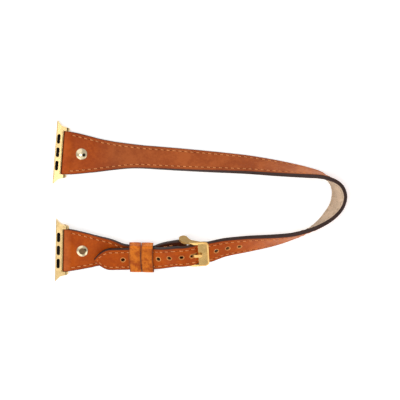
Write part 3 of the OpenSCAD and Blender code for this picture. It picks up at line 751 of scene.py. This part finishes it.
def face_line(half):
    """Places across the face of a strip, from one edge to the other, closer at the edges."""
    insets = np.array(FACE_INSETS) * min(1.0, half / FULL_HALF)
    inner = np.linspace(-half + insets[-1], half - insets[-1], INNER_STEPS + 1)[1:-1]
    return np.concatenate((-half + insets, inner, (half - insets)[::-1]))


def leather_strip(name, route, rings, half, low, high, pressed, **piece):
    """A layer of leather: an upper face with pressed edges and a seam groove, and a flat
    underside. Its sides are painted. pressed(s) says how deep the seam groove is."""
    size = bpy.context.scene.strap_leather
    seam = bpy.context.scene.strap_stitching.inset / MM
    points, from_edge = [], []
    for s in rings:
        h = float(half(s))
        v = face_line(h)
        d = h - np.abs(v)
        r = min(size.edge_round / MM, h / FULL_HALF)
        drop = np.where(d < r, r - np.sqrt(np.maximum(0.0, r * r - (r - d) ** 2)), 0.0)
        groove = pressed(s) * np.exp(-((d - seam) / GROOVE_W) ** 2) * (h > SEWN_HALF)
        ring_v = np.concatenate((v, [h, -h]))
        ring_w = np.concatenate((high - drop - groove, [low, low]))
        points.append(route.lay(np.full(len(ring_v), s), ring_v, ring_w))
        from_edge.append(np.concatenate((d, [0.0, 0.0])))
    around = len(points[0])
    face, side = 0, min(1, len(piece["materials"]) - 1)
    index = ([face] * (around - 3) + [side, face, side]) * (len(rings) - 1) + [side, side]
    faces = [f[::-1] for f in tube_faces(len(rings), around)]
    obj = new_piece(name, np.concatenate(points), faces, face_material=index, **piece)
    add_attribute(obj.data, "from_edge", np.concatenate(from_edge))
    add_attribute(obj.data, "along", np.repeat(rings, around))
    mark_sharp(obj.data, LEATHER_CREASE)
    return obj


def worn_circle(radius, turn, stretch):
    """A circle along and across, stretched backwards and forwards by so much."""
    shift = np.where(np.cos(turn) > 0, stretch[1], stretch[0])
    return radius * np.cos(turn) + shift, radius * np.sin(turn)


def cylinders(name, places, radius, height, finish, around=28):
    """Cutter: cylinders at (point, along, across, up, stretch) places. Its material stays
    on the walls that it cuts."""
    points, faces = [], []
    for point, along, across, up, stretch in places:
        faces += tube_faces(2, around, offset=len(points) * 2 * around)
        a, b = worn_circle(radius, full_turn(around), stretch)
        rim = point + a[:, None] * along + b[:, None] * across
        points.append(np.concatenate((rim - height / 2 * up, rim + height / 2 * up)))
    return new_object(name, mesh_of(name, np.concatenate(points), faces, [finish]))


def punch(piece, cutter):
    """Cuts the cutter's shape out of a piece, for good."""
    modifier = piece.modifiers.new("punch", "BOOLEAN")
    modifier.operation = "DIFFERENCE"
    modifier.solver = "EXACT"
    modifier.object = cutter
    modifier.material_mode = "TRANSFER"
    depsgraph = bpy.context.evaluated_depsgraph_get()
    cut = bpy.data.meshes.new_from_object(piece.evaluated_get(depsgraph))
    piece.modifiers.clear()
    old = piece.data
    piece.data = cut
    cut.name = piece.name
    bpy.data.meshes.remove(old)


def hole_places():
    """Each adjustment hole: its distance along the long strap and the stretch it has worn."""
    return [(PRONG_S - k * HOLE_PITCH, WORN if k == 0 else (0.0, 0.0))
            for k in range(-HOLES_TO_TIP, HOLES_TO_LOOP + 1)]


def hole_cutter(finish):
    holes = [LONG.frames(s) + (stretch,) for s, stretch in hole_places()]
    return cylinders("hole_cutter", holes, HOLE_D / 2, 3 * STRAP_T, finish)


def rivet_cutter(route):
    return cylinders("rivet_cutter", [route.frames(RIVET_AT) + ((0.0, 0.0),)],
                     RIVET_POST_D / 2 + RIVET_CLEAR, 3 * STRAP_T, hole_wall())


def slot_cutter():
    """The slot in the buckle fold in which the tongue's eye turns."""
    back, front, half = -EYE_R - 0.6, 6.0, EYE_L / 2 + 0.1
    corners = [CLASP.at(a, b, c) for c in (-6.0, 6.0) for a, b in
               ((back, -half), (front, -half), (front, half), (back, half))]
    mesh = mesh_of("slot_cutter", corners, tube_faces(2, 4), [painted_edge()])
    return new_object("slot_cutter", mesh)


def fold_rings(skin):
    """Ring places along the flap and the fold at the screw."""
    return np.concatenate((np.arange(skin.s[0], FOLD_ZONE[0] - RING_GAP, FLAP_STEP),
                           np.arange(*FOLD_ZONE, FOLD_STEP)))


def tip_rings(start, length):
    """Ring places along a strap, closer together towards its point."""
    turn = np.linspace(0, math.pi / 2, TIP_RINGS)
    point = length - TIP_L * (1 - np.sin(turn))
    body = np.arange(start, length - TIP_L - RING_GAP, BODY_STEP)
    return np.concatenate((body, point))


def outline(half, start, end, closed_tip):
    """The strap's outline in its flat pattern, up one side, round the tip and back."""
    if closed_tip:
        turn = np.linspace(0, math.pi / 2, TIP_OUTLINE)
        s = np.concatenate((np.arange(start, end - TIP_L, OUTLINE_STEP),
                            end - TIP_L * (1 - np.sin(turn))))
    else:
        s = np.arange(start, end + 1e-6, OUTLINE_STEP)
    side = np.stack((s, half(s)), -1)
    mirrored = side[::-1] * (1, -1)
    return [np.concatenate((side, mirrored))] if closed_tip else [side, mirrored]


def outward(line):
    """Directions square to a flat line, to the left of its course."""
    d = unit(np.gradient(line, axis=0))
    return np.stack((-d[:, 1], d[:, 0]), -1)


def painted_edges(name, route, lines, middle, **piece):
    """The bead of edge paint that runs round the strap over all its layers. Its section is
    given as places outward from the edge, and as shares of the height middle(s)."""
    bead = bpy.context.scene.strap_leather.edge_bead / MM
    section = [(-0.3, -0.9), (-0.05, -1.0), (bead * 0.7, -0.82), (bead, -0.45), (bead, 0.45),
               (bead * 0.7, 0.8), (-0.06, 0.92), (-0.3, 0.86)]
    points, faces, count = [], [], 0
    for line in lines:
        normal = outward(line)
        s = line[:, 0]
        thick = middle(s)
        grow = smooth((s - PAINT_START) / PAINT_RISE)
        rings = []
        for o, w in section:
            reach = np.where(o > 0, o * (0.25 + 0.75 * grow), o)
            rings.append(route.lay(s + normal[:, 0] * reach, line[:, 1] + normal[:, 1] * reach,
                                   w * thick))
        points.append(np.stack(rings, 1).reshape(-1, 3))
        faces += tube_faces(len(line), len(section), offset=count)
        count += len(points[-1])
    return new_piece(name, np.concatenate(points), faces, materials=[painted_edge()], **piece)


# ------------------------------ stitching

TIP_DRAW = 0.45                  # how much closer to the edge the seam comes at the tip
SEAM_LEAD = 2.0                  # how much longer the outline is than the seam
STITCH_RINGS, STITCH_SIDES, STITCH_SLANT = 9, 8, 0.09
STITCH_ENDS = 4.2                # part of a stitch that doesn't dive: 1 - 2 / STITCH_ENDS
# In shares of the thread's radius: how high it lies, how deep its ends dive, how much thinner
# they are, and how flat it is pressed
STITCH_LIFT, STITCH_DIVE, STITCH_THIN, STITCH_FLAT = 0.35, 1.7, 0.35, 0.8
LINING_SUNK = 0.06               # how deep the thread has sunk into the lining
AWL_R, AWL_OFF, AWL_SIDES = 0.27, 0.1, 8                    # pricks at the ends of a stitch
AWL_RINGS = ((1.0, -0.08), (1.0, 0.02), (0.5, 0.035))       # share of the radius, height


def seam_line(half, start, end, closed_tip, inset):
    """The seam's course in the flat pattern, inset from the outline."""
    inner = []
    for line in outline(half, start - SEAM_LEAD, end, closed_tip):
        in_tip = np.clip((line[:, :1] - end + TIP_L) / TIP_L, 0, 1) if closed_tip else 0.0
        moved = line - inset * (1 - TIP_DRAW * in_tip) * outward(line)
        if closed_tip:
            top = line[:, 1] > 0
            keep = np.where(top, moved[:, 1] > 0, moved[:, 1] < 0) & (moved[:, 0] >= start)
        else:
            keep = (moved[:, 0] >= start) & (moved[:, 0] <= end - 0.5)
        inner.append(moved[keep])
    return inner


def stitch_places(line, pitch, length):
    """Both ends of each stitch along a seam."""
    run = running(line)
    count = int(run[-1] / pitch)
    starts = (np.arange(count) + 0.5) * (run[-1] / count) - length / 2
    return [(interpolated(a, run, line), interpolated(a + length, run, line)) for a in starts]


def stitch_geometry(route, a, b, level, side, radius):
    """One stitch: a short round thread that dives into the leather at both ends. level(s)
    is the height of the leather that it lies on."""
    t = np.linspace(0, 1, STITCH_RINGS)
    course = unit(b - a)
    aside = np.array((-course[1], course[0]))
    middle = a + (b - a) * t[:, None] + np.cos(math.pi * t)[:, None] * (STITCH_SLANT * aside)
    dive = 1 - np.minimum(1, STITCH_ENDS * np.minimum(t, 1 - t)) ** 0.6
    height = level(middle[:, 0]) + side * radius * (STITCH_LIFT - STITCH_DIVE * dive)
    thick = radius * (1 - STITCH_THIN * dive)
    turn = full_turn(STITCH_SIDES)
    flat = middle[:, None, :] + (thick[:, None] * np.cos(turn))[..., None] * aside
    w = height[:, None] + side * thick[:, None] * STITCH_FLAT * np.sin(turn)
    return route.lay(flat[..., 0], flat[..., 1], w).reshape(-1, 3)


def awl_hole(route, at, level, side):
    """The prick at the end of a stitch: a shallow dimple, drawn dark as painted shade."""
    turn = full_turn(AWL_SIDES)
    rings = []
    for share, w in AWL_RINGS:
        s = at[0] + share * AWL_R * np.cos(turn)
        rings.append(route.lay(s, at[1] + share * AWL_R * np.sin(turn), level(s) + side * w))
    return np.concatenate(rings)


def stitching(name, route, lines, level, side, materials, **piece):
    """The stitches of a seam in one piece, and on the face the pricks at their ends."""
    size = bpy.context.scene.strap_stitching
    tubes = []
    for line in lines:
        for a, b in stitch_places(line, size.pitch / MM, size.length / MM):
            thread = stitch_geometry(route, a, b, level, side, size.diameter / MM / 2)
            tubes.append((thread, STITCH_RINGS, STITCH_SIDES, 0))
            for end, course in ((a, a - b), (b, b - a)) if side > 0 else ():
                prick = awl_hole(route, end + AWL_OFF * unit(course), level, side)
                tubes.append((prick, len(AWL_RINGS), AWL_SIDES, 1))
    faces, index, count = [], [], 0
    for points, rings, around, finish in tubes:
        tube = tube_faces(rings, around, offset=count)
        faces += tube if side > 0 else [face[::-1] for face in tube]
        index += [finish] * len(tube)
        count += len(points)
    return new_piece(name, np.concatenate([points for points, *_ in tubes]), faces,
                     materials=materials, face_material=index, **piece)


# ------------------------------ operators

def lay_strap(route, skin, half, groove_end, face_slot, leather, layers):
    """Lays a strap's outer leather on its skin route, and its core and lining on its own.
    Each layer has its name, the node that it replaces, its ring places and its cutters."""
    def skin_half(s):
        return half(np.minimum(on_strap(s), route.length))

    def groove(s):
        return SEAM_DEPTH * float(smooth((s - GROOVE_RISE) / GROOVE_RISE)) * (s < groove_end)

    def core_half(s):
        return half(s) - CORE_INSET

    def flat(_):
        return 0.0

    paint = painted_edge()
    builds = (
        (skin, skin_half, -SKIN_T / 2, SKIN_T / 2, groove, face_slot, [leather, paint]),
        (route, core_half, -CORE_T / 2, CORE_T / 2, flat, "core_leather", [paint]),
        (route, half, -STRAP_T / 2, -CORE_T / 2, flat, "lining_suede", [suede(), paint]))
    for (name, node, rings, cutters), build in zip(layers, builds):
        course, width, low, high, pressed, slot, materials = build
        piece = leather_strip(name, course, rings, width, low, high, pressed, body="straps",
                              slot=slot, materials=materials)
        for cutter in cutters:
            punch(piece, cutter)
        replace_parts(piece, node)
    for cutter in dict.fromkeys(cutter for layer in layers for cutter in layer[3]):
        mesh = cutter.data
        bpy.data.objects.remove(cutter)
        bpy.data.meshes.remove(mesh)


class STRAP_OT_long_strap(Operator):
    """Builds the long strap: folded outer leather, core, lining and painted edges"""
    bl_idname = "watch_strap.long_strap"
    bl_label = "Long Strap"

    def execute(self, context):
        skin = skin_route(LONG, END_FLAP)
        face_holes, inner_holes = hole_cutter(hole_wall()), hole_cutter(shaded_inner_wall())
        rivet = rivet_cutter(LONG)
        lay_strap(LONG, skin, long_half, math.inf, "strap_leather", long_leather(), (
            ("long_strap_face", "long_strap_outer",
             np.concatenate((fold_rings(skin), tip_rings(FOLD_ZONE[1], LONG.length))),
             (face_holes, rivet)),
            ("long_strap_padding", "long_strap_core", tip_rings(FOLD_BLEND, LONG.length),
             (inner_holes, rivet)),
            ("long_strap_suede", "long_strap_lining", tip_rings(END_FLAP, LONG.length),
             (inner_holes,))))
        painted_edges("long_strap_edge_paint", LONG,
                      outline(long_half, PAINT_START, LONG.length, True),
                      long_face, body="straps", slot="core_leather")
        return {"FINISHED"}


class STRAP_OT_short_strap(Operator):
    """Builds the buckle strap: outer leather folded at both ends, core, lining, edges"""
    bl_idname = "watch_strap.short_strap"
    bl_label = "Buckle Strap"

    def execute(self, context):
        end = SHORT.length
        skin = skin_route(SHORT, END_FLAP, BUCKLE_FLAP)
        bend, past = end + BUCKLE_ZONE[0], end + BUCKLE_ZONE[1]
        rings = np.concatenate((fold_rings(skin), np.arange(FOLD_ZONE[1], bend - 0.1, BODY_STEP),
                                np.arange(bend, past, FOLD_STEP),
                                np.arange(past + 0.5, skin.s[-1], BODY_STEP), [skin.s[-1]]))
        rivet = rivet_cutter(SHORT)
        lay_strap(SHORT, skin, short_half, end - GROOVE_STOP, "strap_leather_deep",
                  short_leather(), (
                      ("buckle_strap_face", "short_strap_outer", rings, (rivet, slot_cutter())),
                      ("buckle_strap_padding", "short_strap_core",
                       np.arange(FOLD_BLEND, end - FOLD_BLEND, BODY_STEP), (rivet,)),
                      ("buckle_strap_suede", "short_strap_lining",
                       np.arange(END_FLAP, end - BUCKLE_FLAP, BODY_STEP), ())))
        painted_edges("buckle_strap_edge_paint", SHORT,
                      outline(short_half, PAINT_START, end - PAINT_STOP, False),
                      short_face, body="straps", slot="core_leather")
        return {"FINISHED"}


SEAM_START = 2.4                 # where the seams begin behind the screws


class STRAP_OT_stitching(Operator):
    """Sews both straps: thread and awl pricks on the face, thread on the lining"""
    bl_idname = "watch_strap.stitching"
    bl_label = "Stitching"

    def execute(self, context):
        size = context.scene.strap_stitching
        inset = size.inset / MM
        bright = material("waxed_thread", waxed_thread, size.thread)
        # Painted shade: the awl pricks drawn dark brown for the shade inside them
        dark = material("pricked_leather", cut_leather, linear("#5E2810"))
        pale = material("waxed_thread_pale", waxed_thread, size.lining_thread)
        seams = ((LONG, long_half, long_face, LONG.length, True, "long"),
                 (SHORT, short_half, short_face, SHORT.length - SEAM_STOP, False, "buckle"))
        for route, half, face, end, tip, name in seams:
            stitching(f"{name}_strap_stitches", route, seam_line(half, SEAM_START, end, tip, inset),
                      lambda s: face(s) - SEAM_DEPTH, 1, [bright, dark],
                      body="straps", slot="strap_leather")
            lines = seam_line(half, END_FLAP + 1, end - (0 if tip else BUCKLE_FLAP), tip, inset)
            stitching(f"{name}_strap_lining_stitches", route, lines,
                      lambda s: np.full(np.shape(s), LINING_SUNK - STRAP_T / 2), -1, [pale],
                      body="straps", slot="lining_suede")
        return {"FINISHED"}


MIDDLE_OF_STRAP = 60.0           # a distance along at which no fold is near
RIM_OFF, RIM_HALF_W, RIM_SUNK, RIM_HALF_T = 0.13, 0.24, 0.05, 0.15      # rims of the holes


class STRAP_OT_hole_rims(Operator):
    """Presses a light rim round each adjustment hole"""
    bl_idname = "watch_strap.hole_rims"
    bl_label = "Hole Rims"

    def execute(self, context):
        around, section = 40, 10
        points, faces = [], []
        tilt = full_turn(section)
        r = HOLE_D / 2 + RIM_OFF + RIM_HALF_W * np.cos(tilt)
        w = STRAP_T / 2 - RIM_SUNK + RIM_HALF_T * np.sin(tilt)
        for s, stretch in hole_places():
            along, across = worn_circle(r, full_turn(around)[:, None], stretch)
            offset = len(points) * around * section
            height = np.broadcast_to(w, along.shape)
            points.append(LONG.lay(s + along, across, height).reshape(-1, 3))
            faces += [f[::-1] for f in tube_faces(around, section, closed=True, offset=offset)]
        points = np.concatenate(points)
        piece = new_piece("hole_rims", points, faces, body="straps",
                          slot="strap_leather", materials=[rim_leather()])
        add_attribute(piece.data, "from_edge", np.full(len(points), STRAP_W / 2))
        add_attribute(piece.data, "along", np.full(len(points), MIDDLE_OF_STRAP))
        return {"FINISHED"}


KEEPER_SKEW = 0.05               # how far the keepers lean along the strap for each mm across it
KEEPER_BOW = 0.35                # how far their middle has slipped towards the tail's tip
# Places across the band, closer together at its edges, and its painted and inner sides
KEEPER_PLACES = (-1.0, -0.94, -0.88, -0.78, -0.6, -0.3, 0.0, 0.3, 0.6, 0.78, 0.88, 0.94, 1.0)
KEEPER_PAINTED, KEEPER_INSIDE = {0, 11, 12, 13, 15, 16}, 14


class STRAP_OT_keepers(Operator):
    """Builds both keepers as bowed leather bands"""
    bl_idname = "watch_strap.keepers"
    bl_label = "Keepers"

    def execute(self, context):
        for name, node, body, start, seed in (
                ("fixed_keeper_band", "fixed_keeper", "straps", 0.0, 0.4),
                ("free_keeper_band", "free_keeper", "keeper", -KEEPER_L - KEEPER_GAP, 2.1)):
            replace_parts(keeper_band(name, body, start, seed), node)
        return {"FINISHED"}


def rounded_course(width, height, radius, count):
    """Points and outward directions evenly round a rounded rectangle."""
    quarter = np.linspace(0, math.pi / 2, 9)
    p, n = [], []
    for k, (sx, sy) in enumerate(((1, 1), (-1, 1), (-1, -1), (1, -1))):
        a = quarter + k * math.pi / 2
        d = np.stack((np.cos(a), np.sin(a)), -1)
        centre = np.array((sx * (width / 2 - radius), sy * (height / 2 - radius)))
        p.append(centre + radius * d)
        n.append(d)
    p, n = np.concatenate(p), np.concatenate(n)
    p, n = np.append(p, p[:1], 0), np.append(n, n[:1], 0)
    run = running(p)
    d = np.linspace(0, run[-1], count, endpoint=False)
    return interpolated(d, run, p), unit(interpolated(d, run, n)), d / run[-1]


def keeper_band(name, body, start, seed):
    """A band of leather with soft painted edges, a little thicker in its middle. It sits
    bowed and a little askew on the strap, and its edges waver, as hand cut ones do."""
    course, normal, turn = rounded_course(KEEPER_IN_W, KEEPER_IN_H, KEEPER_ROUND, 150)
    half = KEEPER_L / 2
    u = np.array(KEEPER_PLACES)
    top = KEEPER_T * (0.93 + 0.1 * (1 - u ** 2)) - 0.5 * np.maximum(0, np.abs(u) - 0.86) ** 1.2
    section = [*zip(u, top), (0.985, 0.12), (0.93, 0.0), (-0.93, 0.0), (-0.985, 0.12)]
    waver = (0.03 * np.sin(2 * math.pi * (2 * turn + seed))
             + 0.02 * np.sin(2 * math.pi * (5 * turn + 2 * seed)))
    askew = -KEEPER_SKEW * course[:, 0] - KEEPER_BOW * (1 - (2 * course[:, 0] / KEEPER_IN_W) ** 2)
    rings = []
    for a, out in section:
        along = start + half + a * (half + 0.04) + waver * a * a + askew
        at = course + out * normal
        rings.append(KEEPER_SEAT.at(along, at[:, 0], STACK / 2 + at[:, 1]))
    points = np.stack(rings, 1)
    count, around = points.shape[:2]
    index = [1 if j in KEEPER_PAINTED else 2 if j == KEEPER_INSIDE else 0 for j in range(around)]
    faces = [f[::-1] for f in tube_faces(count, around, closed=True)]
    band = new_piece(name, points.reshape(-1, 3), faces, body=body, slot="keeper_leather",
                     materials=[keeper_leather(), painted_edge(), suede()],
                     face_material=index * count)
    add_attribute(band.data, "from_edge", np.tile([(1 - abs(a)) * half for a, _ in section], count))
    # 0 on the side walls, which keeper_leather draws paler as painted light, to 1 on the flats
    add_attribute(band.data, "along", np.repeat(1 - np.abs(normal[:, 0]), around))
    mark_sharp(band.data, KEEPER_CREASE)
    return band


SIDE_SHADE = 0.55                # painted shade: how much darker the sides facing across are drawn than the polished faces
ASIDE, UPWARD = 0.8, 0.97        # cosines over which a face counts as facing across and up
DISH_R = (1.55 * MM, 1.85 * MM)  # radii between which the painted dark reflection in the rivet's dish fades out


class STRAP_OT_metal(Operator):
    """Gives the frame's metal, rubber and plastic pieces their finishes"""
    bl_idname = "watch_strap.metal"
    bl_label = "Metal and Plastic"

    def execute(self, context):
        c = context.scene.strap_metal
        adapter = material("pale_gold_plating", plated_metal, c.adapter, 0.2)
        # The buckle's curves are drawn a little lighter as painted highlight, its sides facing
        # across darker as painted shade
        buckle = material("gold_plating", plated_metal, shade(c.buckle, 1.08), 0.58)
        bar = material("brushed_gold_plating", plated_metal, c.buckle, 0.2, brushed=0.25)
        side = material("satin_gold_plating", plated_metal, shade(c.buckle, SIDE_SHADE), 0.38)
        rivet = material("polished_plating", plated_metal, c.rivet, 0.08)
        middle = SHORT.lay(np.array([RIVET_AT]), np.array([0.0]), np.array([RIVET_DISH]))[0] * MM
        # The lower rivet's cap, with a painted dark reflection in its dish
        dished = material("tarnished_plating", plated_metal, c.rivet, 0.12,
                          dish=(tuple(middle), *DISH_R), tarnish=c.tarnish)
        steel = material("polished_spring_steel", plated_metal, c.steel, 0.3)
        pad = material("moulded_pad_rubber", moulded, c.pad, 0.6)
        button = material("moulded_button_plastic", moulded, c.button, 0.45)
        finishes = {"spring_bar_tube": steel, "spring_bar_tips": steel, "spring_bar_spring": steel}
        for end, cap in (("upper", rivet), ("lower", dished)):
            finishes.update({f"{end}_pads": pad, f"{end}_latch_button": button,
                             f"{end}_latch_spring": steel, f"{end}_latch_plate": adapter,
                             f"{end}_cross_screw": adapter, f"{end}_rivet_cap": cap,
                             f"{end}_rivet_post": adapter})
        for name, finish in finishes.items():
            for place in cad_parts[name].material_slots:
                place.material = finish
        polished("buckle_frame", "buckle", (buckle, side, bar))
        polished("buckle_tongue", "tongue", (buckle, side, buckle))
        for end in ("upper", "lower"):
            polished(f"{end}_adapter", f"{end}_end", (adapter,) * 3)
        return {"FINISHED"}


def polished(node, body, finishes):
    """A casting whose faces are finished by where they look, in lit and shaded copies of one
    plating. The finishes are those of its slants and curves, of the sides that face across the
    strap and of what faces up there."""
    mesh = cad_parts[node].data.copy()
    mesh.name = f"polished_{node}"
    mesh.materials.clear()
    for finish in finishes:
        mesh.materials.append(finish)
    for face in mesh.polygons:
        across, up = (np.dot(face.normal, toward) for toward in (CLASP.across, CLASP.up))
        face.material_index = 1 if abs(across) > ASIDE else 2 if up > UPWARD else 0
        face.use_smooth = True
    mark_sharp(mesh, METAL_CREASE)
    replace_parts(riding(mesh.name, mesh, body), node)


WALLS = 0.6                      # brightness of the tent's walls, where white is 1
# What hangs in the tent: direction, angles at which it is full and at which it ends, brightness
PANELS = (((0.0, -0.42, 0.91), 25.0, 46.0, 1.0),         # light roof, over the front
          ((-0.45, 0.6, 0.66), 18.0, 42.0, 1.25),        # soft box behind at the left
          ((0.75, -0.65, 0.1), 12.0, 30.0, 1.8),         # soft box, low at the right
          ((-0.57, -0.8, 0.18), 26.0, 36.0, 1.5),        # soft box, low at the left
          ((0.45, -0.2, 0.87), 16.0, 25.0, 0.02))        # black clamp that holds the camera
LAMP_PLACE, LAMP_WIDTH = (-0.3, -0.2, 1.1), 0.5          # in metres
TABLE_HALF, TABLE_DROP = 1.5, 0.00003                    # in metres
STRAP_MIDDLE = 0.005                                     # its height over the table, in metres


class STRAP_OT_stage(Operator):
    """Sets the table, the lamp and the camera"""
    bl_idname = "watch_strap.stage"
    bl_label = "Stage"

    def execute(self, context):
        size = context.scene.strap_stage
        scene = context.scene
        r = TABLE_HALF
        table = bpy.data.meshes.new("table")
        table.from_pydata([(-r, -r, 0), (r, -r, 0), (r, r, 0), (-r, r, 0)], [], [(0, 1, 2, 3)])
        table.materials.append(material("white_table", white_table))
        floor = new_object("table", table)
        floor.location.z = -TABLE_DROP

        camera = bpy.data.cameras.new("camera")
        camera.sensor_width = 36.0
        camera.lens = camera.sensor_width * size.camera_height / size.view_width
        camera.clip_start, camera.clip_end = 0.05, 20.0
        scene.camera = new_object("camera", camera)
        scene.camera.location = (*CENTRING[:2] * MM, size.camera_height + STRAP_MIDDLE)

        light = bpy.data.lights.new("key", "AREA")
        light.shape = "DISK"
        light.size = LAMP_WIDTH
        light.energy = size.lamp
        lamp = new_object("key", light)
        lamp.location = LAMP_PLACE
        lamp.rotation_euler = (-Vector(LAMP_PLACE)).to_track_quat("-Z", "Y").to_euler()

        world = bpy.data.worlds.new("studio")
        world.use_nodes = True
        scene.world = world
        sky = add_node(world, "ShaderNodeTexCoord", {}).outputs["Generated"]
        glow = WALLS
        for toward, full, end, bright in PANELS:
            near = add_node(world, "ShaderNodeVectorMath",
                            {"operation": "DOT_PRODUCT", 0: sky, 1: toward}).outputs["Value"]
            fade = [math.cos(math.radians(angle)) for angle in (end, full)]
            inside = spread(world, near, fade, (0.0, 1.0), interpolation_type="SMOOTHSTEP")
            glow = add_node(world, "ShaderNodeMix",
                            {"data_type": "FLOAT", 0: inside, 2: glow, 3: bright}).outputs[0]
        set_node(world, world.node_tree.nodes["Background"], {"Color": glow, "Strength": size.tent})
        scene.view_settings.view_transform = "Standard"
        return {"FINISHED"}


class STRAP_PT_panel(Panel):
    """Lists the strap's pieces and sizes"""
    bl_label = "Watch Strap"
    bl_idname = "STRAP_PT_panel"
    bl_space_type = "VIEW_3D"
    bl_region_type = "UI"
    bl_category = "Watch Strap"

    def draw(self, context):
        layout = self.layout
        for group in GROUPS:
            box = layout.box()
            settings = getattr(context.scene, group)
            for name in settings.__annotations__:
                box.prop(settings, name)
        for operator in PIECES:
            layout.operator(operator.bl_idname)


GROUPS = {"strap_leather": STRAP_PG_leather, "strap_stitching": STRAP_PG_stitching,
          "strap_metal": STRAP_PG_metal, "strap_stage": STRAP_PG_stage}
PIECES = (STRAP_OT_stage, STRAP_OT_long_strap, STRAP_OT_short_strap, STRAP_OT_stitching,
          STRAP_OT_hole_rims, STRAP_OT_keepers, STRAP_OT_metal)


def register():
    for cls in (*GROUPS.values(), *PIECES, STRAP_PT_panel):
        bpy.utils.register_class(cls)
    for name, group in GROUPS.items():
        setattr(bpy.types.Scene, name, PointerProperty(type=group))


def unregister():
    for name in GROUPS:
        delattr(bpy.types.Scene, name)
    for cls in reversed((*GROUPS.values(), *PIECES, STRAP_PT_panel)):
        bpy.utils.unregister_class(cls)


def main():
    register()
    for operator in PIECES:
        group, call = operator.bl_idname.split(".")
        getattr(getattr(bpy.ops, group), call)()


if __name__ == "__main__":
    main()
